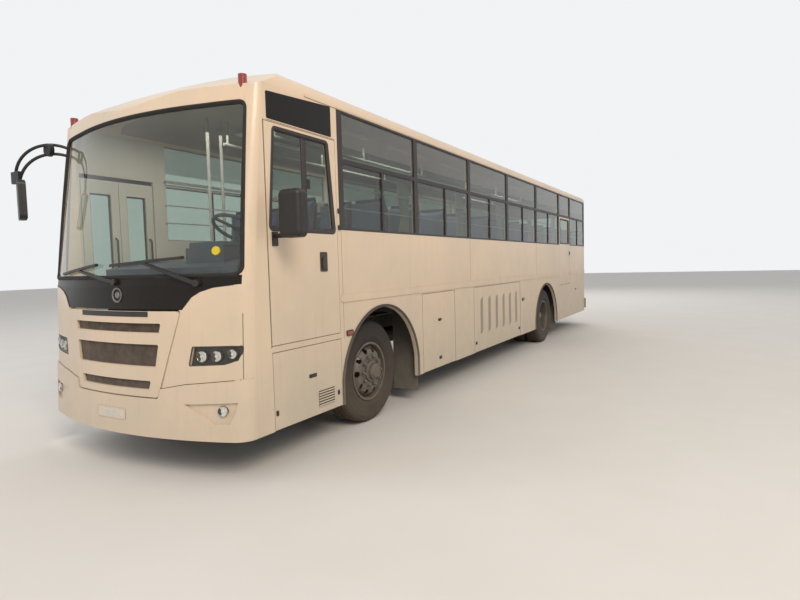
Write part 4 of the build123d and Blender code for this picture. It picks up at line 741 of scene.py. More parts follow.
class COACH_OT_grille(bpy.types.Operator):
    """Weaves the grille's expanded steel mesh, frames its windows and sets the radiator behind them"""

    bl_idname = "coach.grille"
    bl_label = "Grille mesh"

    def execute(self, context):
        cell = context.scene.coach_sizes.mesh_cell
        rise = cell * CELL_RISE
        bm = bmesh.new()
        for top, top_half, low, low_half in MESH_WINDOWS:
            rows = int((top - low) / rise * 2)
            for row in range(rows):
                z = low + (row + 0.5) * rise / 2.0
                half = low_half + (top_half - low_half) * (z - low) / (top - low)
                columns = int(half / cell)
                for column in range(-columns, columns + 1):
                    x = (column + 0.5 * (row % 2)) * cell
                    if abs(x) > half:
                        continue
                    for lean in (1, -1):
                        strand(bm, x, z, x + lean * cell / 2.0, z + rise / 2.0)
        core = bmesh.new()
        box(core, *RADIATOR)
        for k in range(FIN_COUNT):
            z = FIN_Z + k * FIN_PITCH
            box(core, (-0.57, 0.57), (-5.950, -5.945), (z, z + FIN_HEIGHT))
        make("radiator_core", core, "coach", ["radiator_black_and_slot_shade"])
        make("grille_expanded_mesh", bm, "grille_flap", ["grille_mesh_steel"],
             replaces=["grille_mesh"])
        bm = bmesh.new()
        for top, top_half, low, low_half in MESH_WINDOWS:
            top, top_half = top + BEAD_GROW, top_half + BEAD_GROW
            low, low_half = low - BEAD_GROW, low_half + BEAD_GROW
            corners = [(top_half, top), (-top_half, top), (-low_half, low), (low_half, low)]
            ribbon(bm, on_front(dense(rounded(corners, 0.012), 0.05)), 0.008, -0.008, 0.0065)
        make("grille_beads", bm, "grille_flap", ["gelcoat_cream"])
        return {"FINISHED"}


def strand(bm, x0, z0, x1, z1):
    """One strand of expanded mesh, a thin flat bar between two knots."""
    depth, thick = 0.014, 0.0016
    start, end = front_at(x0, z0), front_at(x1, z1)
    start.y += depth
    end.y += depth
    across = (end - start).cross(Vector((0.0, 1.0, 0.0))).normalized() * thick
    back = Vector((0.0, 0.003, 0.0))
    skin(bm, [[bm.verts.new(p + across), bm.verts.new(p - across), bm.verts.new(p - across + back),
               bm.verts.new(p + across + back)] for p in (start, end)], 0)


# x, z and radius of the round lamps
HEADLAMPS = [(0.896, 0.966, 0.048), (1.014, 0.970, 0.046), (1.135, 0.987, 0.040)]
FOG_LAMP = (1.067, 0.560, 0.036)
HEADLAMP_OUTLINE = [
    (0.824, 1.041), (1.212, 1.050), (1.210, 1.0), (1.180, 0.938), (1.080, 0.908), (0.792, 0.893),
]
# depth of the headlamps behind the cover, and how far the fog lamps stand out
LAMP_INSET = 0.008
FOG_LAMP_PROUD = 0.010
# share of a headlamp's opening that its bright face fills
LAMP_FACE = 0.84


class COACH_OT_front_lamps(bpy.types.Operator):
    """Dresses the headlamps and fog lamps: bright rings, reflectors, domed glasses and cover glass"""

    bl_idname = "coach.front_lamps"
    bl_label = "Lamps of the front"

    def execute(self, context):
        bm = bmesh.new()
        glass = bmesh.new()
        for side in (1, -1):
            for x, z, radius in HEADLAMPS + [FOG_LAMP]:
                proud = FOG_LAMP_PROUD
                if (x, z, radius) != FOG_LAMP:
                    proud = -LAMP_INSET
                    radius *= LAMP_FACE
                # a lamp looks half way between the skin's normal and straight ahead
                out = (front_normal(side * x, z) + Vector((0.0, -1.0, 0.0))).normalized()
                place = front_at(side * x, z) + out * proud
                lathe(bm, [(radius * 1.1, -0.012), (radius * 1.12, 0.001), (radius * 1.04, 0.006),
                           (radius, 0.004), (radius * 0.97, 0.0)], place, out, 40)
                # shallow reflector with its bulb cap
                lathe(bm, [(radius * 0.98, 0.003), (radius * 0.7, 0.0012), (radius * 0.3, 0.0008),
                           (radius * 0.28, 0.006), (0.0, 0.008)], place, out, 40, index=1)
                lathe(glass, [(0.0, 0.0125), (radius * 0.5, 0.0115), (radius * 0.85, 0.009), (radius, 0.005)],
                      place, out, 40)
        make("lamp_rings", bm, "coach", ["polished_bright_steel", "lamp_reflector"])
        seals = bmesh.new()
        for side in (1, -1):
            outline = rounded([(side * x, z) for x, z in HEADLAMP_OUTLINE], 0.014)
            cover_sheet(glass, outline, -0.001)
            ribbon(seals, on_front(dense(outline, 0.04)), 0.006, -0.012, 0.0008)
        make("lamp_glasses", glass, "coach", ["lamp_cover_glass"])
        make("headlamp_seals", seals, "coach", ["moulded_rubber"])
        return {"FINISHED"}


def cover_sheet(bm, outline, proud):
    """Thin sheet over an outline of the front, as a fan from its middle in three rings."""
    middle_x = sum(p[0] for p in outline) / len(outline)
    middle_z = sum(p[1] for p in outline) / len(outline)
    rings = []
    for share in (1.0, 0.66, 0.33):
        ring = []
        for point in outline:
            x = middle_x + (point[0] - middle_x) * share
            z = middle_z + (point[1] - middle_z) * share
            ring.append(bm.verts.new(front_at(x, z) + front_normal(x, z) * proud))
        rings.append(ring)
    skin(bm, rings, 0, caps=1)


# y, low z and top z of the seams between the skirt's lockers and between body panels
SIDE_SEAMS = [
    (-3.05, 0.35, 1.27), (-2.13, 0.35, 1.27), (-1.475, 0.35, 1.27), (0.62, 0.35, 1.27),
    (-4.625, 0.95, 2.7), (-1.58, 1.36, 1.94), (1.65, 1.36, 1.94),
]
# body, side, y, z, half width and half height of the black handles and latches
LATCHES = [
    ("coach", 1, -2.593, 0.924, 0.045, 0.016),
    ("louvre_flap", 1, -1.405, 0.466, 0.03, 0.022),
    ("battery_flap", 1, -2.59, 0.45, 0.035, 0.02),
    ("louvre_flap", 1, 0.55, 0.466, 0.03, 0.022),
    ("service_flap", 1, -5.105, 0.688, 0.05, 0.016),
    ("service_flap", 1, -5.56, 0.47, 0.014, 0.022),
    ("service_flap", 1, -4.743, 0.467, 0.014, 0.022),
    ("locker_flap", -1, -2.0, 0.45, 0.05, 0.02),
    ("coach", -1, 0.4, 0.924, 0.045, 0.016),
    ("coach", 1, 4.9, 0.924, 0.045, 0.016),
]
# y and z of the side marker lamps
MARKERS = ((-4.54, 0.990), (0.775, 0.951))
DRIP_RAIL_Z = 3.052
DOOR_TOP_Z = 2.757


class COACH_OT_side_trim(bpy.types.Operator):
    """Adds the black corner panels, drip rails, seams, handles, hinges and lamp bezels of both sides"""

    bl_idname = "coach.side_trim"
    bl_label = "Trim of the sides"

    def execute(self, context):
        # glossy black panel over the driver's door and over the entry
        bm = bmesh.new()
        for side in (1, -1):
            outline = rounded([(-5.555, 2.768), (-4.735, 2.768), (-4.735, 3.035), (-5.555, 2.975)], 0.012)
            prism(bm, outline, side_place(side), -0.001, 0.004)
        make("corner_panels", bm, "coach", ["gloss_black_panel"], bevel=0.001)

        # seams, with the joints in front of the door and over it
        bm = bmesh.new()
        for side in (1, -1):
            for y, low, top in SIDE_SEAMS:
                strip(bm, on_side(side, [(y, low), (y, top)]), 0.003, -0.003, 0.0008)
            strip(bm, on_side(side, [(-5.596, 0.99), (-5.596, DOOR_TOP_Z)]), 0.007, -0.003, 0.001)
            head = dense([(-5.56, DOOR_TOP_Z), (-4.69, DOOR_TOP_Z)], 0.2, closed=False)
            strip(bm, on_side(side, head), 0.004, -0.003, 0.001)
        make("side_seams", bm, "coach", ["moulded_rubber"])

        # drip rails over the side windows, and end plates of the rub rails
        bm = bmesh.new()
        for side in (1, -1):
            rail = dense([(-4.66, DRIP_RAIL_Z), (5.86, DRIP_RAIL_Z)], 0.6, closed=False)
            strip(bm, on_side(side, rail), 0.012, -0.002, 0.011)
            strip(bm, on_side(side, [(-4.64, 1.30), (-4.64, 1.34)]), 0.05, 0.0, 0.012)
        make("drip_rails", bm, "coach", ["sprayed_steel_cream"])

        # black handles and latches, each a plate with a raised grip
        for number, (body, side, y, z, half_width, half_height) in enumerate(LATCHES):
            bm = bmesh.new()
            prism(bm, centred(y, z, half_width, half_height, 0.008), side_place(side), -0.002, 0.005)
            grip = centred(y, z, half_width * 0.6, half_height * 0.45, 0.004)
            prism(bm, grip, side_place(side), 0.004, 0.011)
            make(f"latch_{number + 1}", bm, body, ["moulded_black_plastic"], bevel=0.0012)

        # hinges of the driver's door on its pillar
        bm = bmesh.new()
        for z in (2.12, 1.97):
            prism(bm, centred(-4.652, z, 0.020, 0.022, 0.006), side_place(1), -0.002, 0.010)
        make("pillar_hinges", bm, "coach", ["moulded_black_plastic"], bevel=0.002)

        # bezels of the side marker lamps
        bm = bmesh.new()
        for side in (1, -1):
            for y, z in MARKERS:
                bezel = dense(centred(y, z, 0.05, 0.023, 0.008), 0.02)
                ribbon(bm, on_side(side, bezel), 0.006, 0.0, 0.013)
        make("marker_bezels", bm, "coach", ["moulded_black_plastic"])
        return {"FINISHED"}


# slots of the louvred flap as (along the side, upwards): middle of all, distance, number, half size and tilt
LOUVRE_MIDDLE = (-0.395, 0.845)
LOUVRE_PITCH = (0.315, 0.042)
LOUVRE_COUNT = (6, 12)
LOUVRE_HALF = (0.0596, 0.0086)
LOUVRE_TILT = 25.0

# window of the driver's door, and its two inner uprights as y and height over the skin
DRIVER_WINDOW = [(-5.558, 1.920), (-5.486, 2.710), (-4.795, 2.710), (-4.718, 1.920)]
DRIVER_UPRIGHTS = ((-5.125, -0.004), (-5.09, -0.010))
# lowest slat of the small vent, the pitch and the number of its slats
SLAT_Z = 0.405
SLAT_PITCH = 0.023
SLAT_COUNT = 6
# name, front end, rear end and rear rubber's inset of the two entry leaves
ENTRY_LEAVES = (("front", -5.556, -5.159, 0.004), ("rear", -5.153, -4.756, 0.006))


class COACH_OT_door_trim(bpy.types.Operator):
    """Frames the doors' windows and adds handles, vents, rubbers and the brush strip over the entry"""

    bl_idname = "coach.door_trim"
    bl_label = "Trim of the doors"

    def execute(self, context):
        left = side_place(1)
        bm = bmesh.new()
        ribbon(bm, on_side(1, dense(rounded(DRIVER_WINDOW, 0.03), 0.2)), 0.042, -0.020, 0.005)
        for y, proud in DRIVER_UPRIGHTS:
            strip(bm, on_side(1, [(y, 1.935), (y, 2.70)]), 0.030, -0.022, proud)
        strip(bm, on_side(1, [(-5.52, 1.936), (-4.74, 1.936)]), 0.024, -0.022, 0.003)
        # the pane's grip and the door handle
        prism(bm, rectangle(-5.07, -5.045, 2.28, 2.36, 0.005), left, -0.012, -0.002)
        prism(bm, rectangle(-4.95, -4.85, 1.575, 1.746, 0.012), left, -0.002, 0.006)
        prism(bm, rectangle(-4.93, -4.87, 1.60, 1.70, 0.008), left, 0.004, 0.020)
        make("driver_door_trim", bm, "driver_door", ["powder_coated_frames"], bevel=0.0015)

        bm = bmesh.new()
        ribbon(bm, on_side(1, dense(rectangle(3.435, 4.225, 1.985, 2.510, 0.03), 0.2)), 0.038, -0.020, 0.005)
        prism(bm, rectangle(4.245, 4.285, 1.72, 1.82, 0.01), left, -0.002, 0.006)
        prism(bm, rectangle(4.255, 4.275, 1.745, 1.80, 0.006), left, 0.004, 0.016)
        make("escape_door_trim", bm, "escape_door", ["powder_coated_frames"], bevel=0.0015)

        # black sheets in the service flap's small vent and in each slot of the louvred flap: painted shade in
        # the openings
        bm = bmesh.new()
        prism(bm, rectangle(-5.035, -4.805, 0.395, 0.535, 0.006), left, -0.001, 0.0008)
        make("service_vent_shade", bm, "service_flap", ["moulded_black_plastic"])
        bm = bmesh.new()
        tilt = Matrix.Rotation(math.radians(LOUVRE_TILT), 2)
        for column in range(LOUVRE_COUNT[0]):
            for row in range(LOUVRE_COUNT[1]):
                middle = Vector((LOUVRE_MIDDLE[0] + (column - (LOUVRE_COUNT[0] - 1) / 2.0) * LOUVRE_PITCH[0],
                                 LOUVRE_MIDDLE[1] + (row - (LOUVRE_COUNT[1] - 1) / 2.0) * LOUVRE_PITCH[1]))
                slot = [middle + tilt @ Vector((u * LOUVRE_HALF[0], v * LOUVRE_HALF[1]))
                        for u, v in ((-1, -1), (1, -1), (1, 1), (-1, 1))]
                prism(bm, slot, left, -0.004, -0.0012)
        make("louvre_slot_shade", bm, "louvre_flap", ["radiator_black_and_slot_shade"])
        bm = bmesh.new()
        ribbon(bm, on_side(1, rectangle(-5.04, -4.80, 0.39, 0.54, 0.008)), 0.008, -0.001, 0.004)
        for row in range(SLAT_COUNT):
            z = SLAT_Z + row * SLAT_PITCH
            strip(bm, on_side(1, [(-5.03, z), (-4.81, z)]), 0.012, -0.001, 0.006)
        make("service_vent", bm, "service_flap", ["sprayed_steel_cream"])

        # entry leaves: window rubbers, meeting rubbers and pull handles
        for name, low, top, inset in ENTRY_LEAVES:
            bm = bmesh.new()
            pane = rectangle(low + 0.085, top - 0.085, 1.18, 2.42, 0.03)
            ribbon(bm, on_side(-1, dense(pane, 0.2)), 0.03, -0.020, 0.001)
            strip(bm, on_side(-1, [(top - inset, 0.49), (top - inset, 2.54)]), 0.012, -0.036, -0.003)
            handle = ((0.042, 1.45), (0.075, 1.47), (0.075, 1.95), (0.042, 1.97))
            tube(bm, [(-SIDE_X + inwards, top - 0.06, z) for inwards, z in handle], 0.010)
            make(f"entry_trim_{name}", bm, f"entry_{name}", ["moulded_rubber"])
        # brush strip that closes the gap over the leaves
        bm = bmesh.new()
        brush = dense([(-5.56, 2.580), (-4.75, 2.580)], 0.2, closed=False)
        strip(bm, on_side(-1, brush), 0.040, -0.030, -0.006)
        make("entry_head_seal", bm, "coach", ["moulded_rubber"])
        return {"FINISHED"}


# plane of the left mirror's glass, and the middle and turn of the right mirror's head
LEFT_MIRROR_Y = -5.5
RIGHT_MIRROR = Vector((-1.425, -6.0, 2.315))
RIGHT_MIRROR_TURN = math.radians(23.0)


class COACH_OT_mirrors(bpy.types.Operator):
    """Sets the silvered glasses and rims of the outside mirrors, with the left one's stay"""

    bl_idname = "coach.mirrors"
    bl_label = "Mirrors"

    def execute(self, context):
        bm = bmesh.new()
        outline = rectangle(1.385, 1.545, 1.87, 2.185, 0.03)
        prism(bm, outline, lambda u, v, w: Vector((u, LEFT_MIRROR_Y + w, v)), 0.0, 0.003)
        ring = [(Vector((u, LEFT_MIRROR_Y, v)), Vector((0.0, 1.0, 0.0))) for u, v in dense(outline, 0.05)]
        ribbon(bm, ring, 0.012, -0.002, 0.006, index=1)
        tube(bm, [(1.262, -5.515, 1.865), (1.31, -5.515, 1.875), (1.37, -5.53, 1.895)], 0.012, index=1)
        make("left_mirror_glass", bm, "driver_door", ["silvered_glass", "moulded_black_plastic"])

        across = Vector((math.cos(RIGHT_MIRROR_TURN), -math.sin(RIGHT_MIRROR_TURN), 0.0))
        back = Vector((math.sin(RIGHT_MIRROR_TURN), math.cos(RIGHT_MIRROR_TURN), 0.0))
        place = lambda u, v, w: RIGHT_MIRROR + across * u + UPWARDS * v + back * (0.03 + w)
        bm = bmesh.new()
        outline = centred(0.0, 0.0, 0.085, 0.17, 0.035)
        prism(bm, outline, place, 0.0, 0.003)
        ring = [(place(u, v, 0.0), back) for u, v in dense(outline, 0.05)]
        ribbon(bm, ring, 0.012, -0.002, 0.006, index=1)
        # seam round the shell
        seam = [(place(u, v, -0.032), (across * u + UPWARDS * v).normalized())
                for u, v in centred(0.0, 0.0, 0.101, 0.186, 0.045)]
        ribbon(bm, seam, 0.004, -0.003, 0.0015, index=1)
        make("right_mirror_glass", bm, "coach", ["silvered_glass", "moulded_black_plastic"])
        return {"FINISHED"}


# section of a tyre from bead to bead: radius, distance from the middle
TYRE_SECTION = [
    (0.286, -0.108), (0.304, -0.109), (0.312, -0.118), (0.330, -0.1265), (0.352, -0.133), (0.356, -0.1355),
    (0.362, -0.134), (0.400, -0.1395), (0.430, -0.1398), (0.455, -0.138), (0.460, -0.1395), (0.466, -0.137),
    (0.485, -0.131), (0.500, -0.124), (0.512, -0.113), (0.520, -0.104), (0.5238, -0.096), (0.525, -0.084),
]
# radius of the tread, half width of its crown, the grooves across it, and the pitches of the zigzag
TYRE_RADIUS = 0.525
CROWN_HALF = 0.080
GROOVES = (-0.052, 0.0, 0.052)
GROOVE_HALF = 0.006
GROOVE_LIP = 0.003
PITCHES = 60
GROOVE_SWAY = 0.005
# radius outside which the shoulder blocks are cut, and their depth as a share of the grooves' depth
SHOULDER_RADIUS = 0.514
SHOULDER_CUT = 0.8


def tyre(bm, centre_x, centre_y, side, depth):
    """Tyre with zigzag grooves, shoulder blocks and a ribbed side wall."""
    steps = PITCHES * 4
    crown = [-CROWN_HALF]
    for groove in GROOVES:
        crown += [groove - GROOVE_HALF - GROOVE_LIP, groove - GROOVE_HALF,
                  groove + GROOVE_HALF, groove + GROOVE_HALF + GROOVE_LIP]
    crown.append(CROWN_HALF)
    rings = []
    for i in range(steps):
        angle = math.tau * i / steps
        phase = i % 4
        sway = (0.0, GROOVE_SWAY, 0.0, -GROOVE_SWAY)[phase]
        section = []
        for radius, out in TYRE_SECTION:
            lug = depth * SHOULDER_CUT if phase in (0, 1) and radius > SHOULDER_RADIUS else 0.0
            section.append((radius - lug, out))
        for k, out in enumerate(crown):
            in_groove = 0 < k < len(crown) - 1
            drop = depth if in_groove and (k - 1) % 4 in (1, 2) else 0.0
            section.append((TYRE_RADIUS - drop, out + (sway if in_groove else 0.0)))
        for radius, out in reversed(TYRE_SECTION):
            lug = depth * SHOULDER_CUT if phase in (2, 3) and radius > SHOULDER_RADIUS else 0.0
            section.append((radius - lug, -out))
        rings.append([bm.verts.new((centre_x + side * out, centre_y + radius * math.sin(angle),
                                    WHEEL_Z + radius * math.cos(angle))) for radius, out in section])
    skin(bm, rings, 0, closed=True)


WHEELS = [
    # body, replaced tyre, centre y, outer x, inner x, side, then nut plane and hub end from the outer x
    ("wheel_front_left", "tyre_front_left", FRONT_AXLE_Y, 1.0, None, 1, 0.136, 0.200),
    ("wheel_front_right", "tyre_front_right", FRONT_AXLE_Y, 1.0, None, -1, 0.136, 0.200),
    ("wheels_rear_left", "tyres_rear_left", REAR_AXLE_Y, 1.08, 0.76, 1, -0.152, 0.060),
    ("wheels_rear_right", "tyres_rear_right", REAR_AXLE_Y, 1.08, 0.76, -1, -0.152, 0.060),
]
# radii of the circles that the wheel nuts and the hub's bolts stand on
NUT_CIRCLE = 0.150
HUB_BOLTS = 8
HUB_BOLT_CIRCLE = 0.046


class COACH_OT_wheels(bpy.types.Operator):
    """Cuts the tread of the tyres and adds wheel nuts, studs, hub caps, lock rings and valves"""

    bl_idname = "coach.wheels"
    bl_label = "Tyres and wheel nuts"

    def execute(self, context):
        sizes = context.scene.coach_sizes
        for body, node, y, outer, inner, side, nut_plane, hub_end in WHEELS:
            bm = bmesh.new()
            for x in (outer, inner):
                if x:
                    tyre(bm, side * x, y, side, sizes.tread)
            make(f"{node}_tread", bm, body, ["tyre_rubber_sandy"], replaces=[node], angle=38.0)

            bm = bmesh.new()
            axis = Vector((side, 0.0, 0.0))
            for i in range(sizes.nuts):
                angle = math.tau * (i + 0.5) / sizes.nuts
                place = Vector((side * (outer + nut_plane), y + NUT_CIRCLE * math.sin(angle),
                                WHEEL_Z + NUT_CIRCLE * math.cos(angle)))
                lathe(bm, [(0.024, -0.002), (0.024, 0.004), (0.0, 0.004)], place, axis, 20)
                lathe(bm, [(0.019, 0.003), (0.019, 0.020), (0.016, 0.023), (0.0, 0.023)], place, axis, 6)
                lathe(bm, [(0.010, 0.020), (0.010, 0.036), (0.008, 0.038), (0.0, 0.038)], place, axis, 12)
            hub = Vector((side * (outer + hub_end), y, WHEEL_Z))
            for i in range(HUB_BOLTS):
                angle = math.tau * i / HUB_BOLTS
                place = hub + HUB_BOLT_CIRCLE * Vector((0.0, math.sin(angle), math.cos(angle)))
                lathe(bm, [(0.009, -0.002), (0.009, 0.006), (0.007, 0.008), (0.0, 0.008)], place, axis, 6)
            valve = Vector((side * (outer + (0.10 if nut_plane > 0 else -0.06)), y, WHEEL_Z + 0.258))
            tube(bm, [valve, valve + axis * 0.03, valve + axis * 0.045 + Vector((0, 0, -0.012))], 0.005, 8)
            make(f"{body}_nuts", bm, body, ["zinc_plated_steel"], angle=20.0)

            bm = bmesh.new()
            lathe(bm, [(0.062, -0.003), (0.062, 0.003), (0.056, 0.009), (0.020, 0.012), (0.0, 0.012)],
                  hub, axis, 32)
            # lock ring of the rim
            lathe(bm, [(0.283, 0.1195), (0.287, 0.1195), (0.298, 0.118), (0.302, 0.1195), (0.302, 0.1225),
                       (0.286, 0.124), (0.280, 0.122)],
                  Vector((side * outer, y, WHEEL_Z)), axis, 64, ring=True)
            make(f"{body}_cap", bm, body, ["sprayed_wheel_steel"])
        return {"FINISHED"}


# width, depth, height and stitched channels of the cushion and of the back, and the faces each may have
CUSHION_SIZE = (0.405, 0.41, 0.115, 0)
CUSHION_FACES = 900
BACK_SIZE = (0.405, 0.60, 0.085, 3)
BACK_FACES = 1100
# share of its width that a pad's side is pulled in, and the depth of a stitched channel
PAD_WAIST = 0.035
CHANNEL_DEPTH = 0.010
# size of a pad's even faces before it is stuffed, how far the cover may swell, and the frames it takes
PAD_VOXEL = 0.011
PAD_SWELL = 0.012
STUFFING_FRAMES = 20


def pad_form(width, depth, height, lean_rows):
    """Form of a pad before it is stuffed: closed, crowned on top, its sides pulled in between the corners.

    lean_rows is the number of stitched channels across a back."""
    bm = bmesh.new()
    columns = rows = 14
    grid = []
    for level in (0, 1):
        layer = []
        for i in range(columns + 1):
            line = []
            for j in range(rows + 1):
                u, v = 2.0 * i / columns - 1.0, 2.0 * j / rows - 1.0
                waist_u = 1.0 - PAD_WAIST * (1.0 - v * v)
                waist_v = 1.0 - PAD_WAIST * (1.0 - u * u)
                crown = (1.0 - u ** 4) * (1.0 - v ** 4)
                x = u * width / 2.0 * waist_u
                y = v * depth / 2.0 * waist_v
                z = height * (0.55 + 0.40 * crown) if level else height * 0.10 * (1.0 - crown)
                channel = lean_rows and level and abs(math.sin(math.pi * lean_rows * (v + 1.0) / 2.0)) < 0.2
                line.append(bm.verts.new((x, y, z - (CHANNEL_DEPTH if channel else 0.0))))
            layer.append(line)
        grid.append(layer)
    for level, layer in enumerate(grid):
        for i in range(columns):
            for j in range(rows):
                face = (layer[i][j], layer[i + 1][j], layer[i + 1][j + 1], layer[i][j + 1])
                bm.faces.new(face if level else face[::-1])
    rim = [(i, 0) for i in range(columns)] + [(columns, j) for j in range(rows)]
    rim += [(i, rows) for i in range(columns, 0, -1)] + [(0, j) for j in range(rows, 0, -1)]
    for (i, j), (k, m) in zip(rim, rim[1:] + rim[:1]):
        bm.faces.new((grid[0][i][j], grid[0][k][m], grid[1][k][m], grid[1][i][j]))
    return bm


def stuffed(name, bm, target_faces):
    """Mesh of a pad after its cloth is blown up a little, held to its swell and thinned."""
    mesh = bpy.data.meshes.new(name)
    bmesh.ops.recalc_face_normals(bm, faces=bm.faces)
    bm.to_mesh(mesh)
    bm.free()
    pad = bpy.data.objects.new(name, mesh)
    scene = bpy.context.scene
    scene.collection.objects.link(pad)
    remesh = pad.modifiers.new("even", "REMESH")
    remesh.mode = "VOXEL"
    remesh.voxel_size = PAD_VOXEL
    applied(pad)
    start = [vertex.co.copy() for vertex in pad.data.vertices]
    cover = pad.modifiers.new("cover", "CLOTH")
    cover.settings.use_pressure = True
    cover.settings.uniform_pressure_force = 4.0
    cover.settings.effector_weights.gravity = 0.0
    cover.point_cache.frame_start = 1
    cover.point_cache.frame_end = STUFFING_FRAMES
    for frame_number in range(1, STUFFING_FRAMES + 1):
        scene.frame_set(frame_number)
    applied(pad)
    scene.frame_set(1)
    for vertex, before in zip(pad.data.vertices, start):
        move = vertex.co - before
        if move.length > PAD_SWELL:
            vertex.co = before + move.normalized() * PAD_SWELL
    thin = pad.modifiers.new("thin", "DECIMATE")
    thin.ratio = min(1.0, target_faces / max(1, 2 * len(pad.data.polygons)))
    applied(pad)
    result = pad.data
    bpy.data.objects.remove(pad)
    return result


def applied(piece):
    """Bakes all modifiers of an object into its mesh."""
    graph = bpy.context.evaluated_depsgraph_get()
    mesh = bpy.data.meshes.new_from_object(piece.evaluated_get(graph), depsgraph=graph)
    piece.modifiers.clear()
    piece.data = mesh


# benches: pitch, front of the first, rows, and their two ends across the coach
SEAT_PITCH = 0.775
FIRST_ROW_Y = -4.15
SEAT_ROWS = 13
BENCH_X = (0.27, 1.145)
DRIVER_SEAT = (0.64, -4.98)
BELLOWS_PITCH = 0.038
BACK_LEAN = math.atan2(0.08, 0.63)
SEAT_TILT = math.radians(-1.5)


class COACH_OT_seats(bpy.types.Operator):
    """Stuffs the seat pads once and sets them on every bench and on the driver's seat, with their frames"""

    bl_idname = "coach.seats"
    bl_label = "Seats"

    def execute(self, context):
        cushion = stuffed("cushion_form", pad_form(*CUSHION_SIZE), CUSHION_FACES)
        back = stuffed("back_form", pad_form(*BACK_SIZE), BACK_FACES)
        sit = Matrix.Rotation(SEAT_TILT, 4, "X")
        lean = Matrix.Rotation(math.radians(90.0) - BACK_LEAN, 4, "X")
        mid = (BENCH_X[0] + BENCH_X[1]) / 2.0
        shift = (BENCH_X[1] - BENCH_X[0]) / 4.0
        for name, side in (("left", 1), ("right", -1)):
            bm = bmesh.new()
            frames = bmesh.new()
            for row in range(SEAT_ROWS):
                y = FIRST_ROW_Y + row * SEAT_PITCH
                for x in (mid - shift, mid + shift):
                    place_pad(bm, cushion, Matrix.Translation((side * x, y + 0.215, FLOOR_TOP + 0.325)) @ sit)
                    place_pad(bm, back, Matrix.Translation((side * x, y + 0.475, FLOOR_TOP + 0.745)) @ lean)
                bench_frame(frames, side, y)
            pads = make(f"bench_pads_{name}", bm, "coach", ["woven_seat_cover"],
                        replaces=["seats"], angle=60.0)
            make(f"bench_frames_{name}", frames, "coach", ["moulded_black_plastic", "powder_coated_tube"],
                 replaces=["seats"])
        x, y = DRIVER_SEAT
        wider = Matrix.Scale(1.1, 4, (1, 0, 0))
        bm = bmesh.new()
        place_pad(bm, cushion, Matrix.Translation((x, y + 0.215, FLOOR_TOP + 0.29)) @ sit @ wider)
        place_pad(bm, back, Matrix.Translation((x, y + 0.475, FLOOR_TOP + 0.70)) @ lean @ wider)
        pads = make("driver_pads", bm, "coach", ["woven_seat_cover"], replaces=["driver_seat"],
                    angle=60.0)
        bm = bmesh.new()
        box(bm, (x - 0.22, x + 0.22), (y + 0.02, y + 0.43), (FLOOR_TOP + 0.26, FLOOR_TOP + 0.30))
        box(bm, (x - 0.16, x + 0.16), (y + 0.06, y + 0.40), (FLOOR_TOP, FLOOR_TOP + 0.03), 1)
        # bellows between base and pan
        for level in range(6):
            lift = FLOOR_TOP + 0.03 + level * BELLOWS_PITCH
            grow = 0.012 if level % 2 else 0.0
            box(bm, (x - 0.14 - grow, x + 0.14 + grow), (y + 0.08 - grow, y + 0.38 + grow),
                (lift, lift + BELLOWS_PITCH))
        shell_back(bm, x - 0.21, x + 0.21, y, FLOOR_TOP - 0.04)
        make("driver_seat_base", bm, "coach", ["moulded_rubber", "chassis_black_paint"],
             bevel=0.004, replaces=["driver_seat"])
        return {"FINISHED"}


def place_pad(bm, mesh, matrix):
    """Adds a copy of a pad's mesh."""
    before = len(bm.verts)
    bm.from_mesh(mesh)
    bm.verts.ensure_lookup_table()
    bmesh.ops.transform(bm, matrix=matrix, verts=bm.verts[before:])


def shell_back(bm, x_low, x_high, y, floor):
    """Moulded shell behind a seat's back, curved in at its edges."""
    rows = []
    for k in range(9):
        share = k / 8.0
        z = floor + 0.36 + 0.71 * share
        depth = y + 0.478 + 0.088 * share
        inset = 0.03 * (4.0 * max(0.0, share - 0.75)) ** 2
        left, right = x_low + inset, x_high - inset
        section = [(left, depth - 0.02), (left + 0.03, depth), (right - 0.03, depth), (right, depth - 0.02),
                   (right, depth - 0.03), (left, depth - 0.03)]
        rows.append([bm.verts.new((u, v, z)) for u, v in section])
    skin(bm, rows, 0)


def bench_frame(bm, side, y):
    """Pan, legs, back shells, grab handle and aisle arm rest of one bench."""
    low, high = BENCH_X
    middle = (low + high) / 2.0
    for x0, x1 in ((low + 0.005, middle - 0.003), (middle + 0.003, high - 0.005)):
        shell_back(bm, *sorted((side * x0, side * x1)), y, FLOOR_TOP)
    ends = sorted((side * (low + 0.01), side * (high - 0.01)))
    box(bm, ends, (y + 0.01, y + 0.47), (FLOOR_TOP + 0.305, FLOOR_TOP + 0.330), 1)
    for x in (low + 0.105, high - 0.045):
        for leg_y in (y + 0.08, y + 0.42):
            leg = [(side * x, leg_y, FLOOR_TOP + lift) for lift in (0.004, 0.31)]
            tube(bm, leg, 0.014, 8, 1)
        ends = sorted((side * (x - 0.022), side * (x + 0.022)))
        box(bm, ends, (y + 0.055, y + 0.445), (FLOOR_TOP, FLOOR_TOP + 0.006), 1)
    # grab handle, then arm rest: distance from the bench's aisle end, from its front and from the floor
    handle = ((0.03, 0.548, 0.98), (0.03, 0.556, 1.045), (0.19, 0.556, 1.055), (0.21, 0.548, 0.98))
    arm_rest = ((0.012, 0.46, 0.40), (0.012, 0.47, 0.60), (0.012, 0.16, 0.60))
    for route, radius in ((handle, 0.010), (arm_rest, 0.012)):
        tube(bm, [(side * (low + u), y + v, FLOOR_TOP + w) for u, v, w in route], radius, 8, 1)


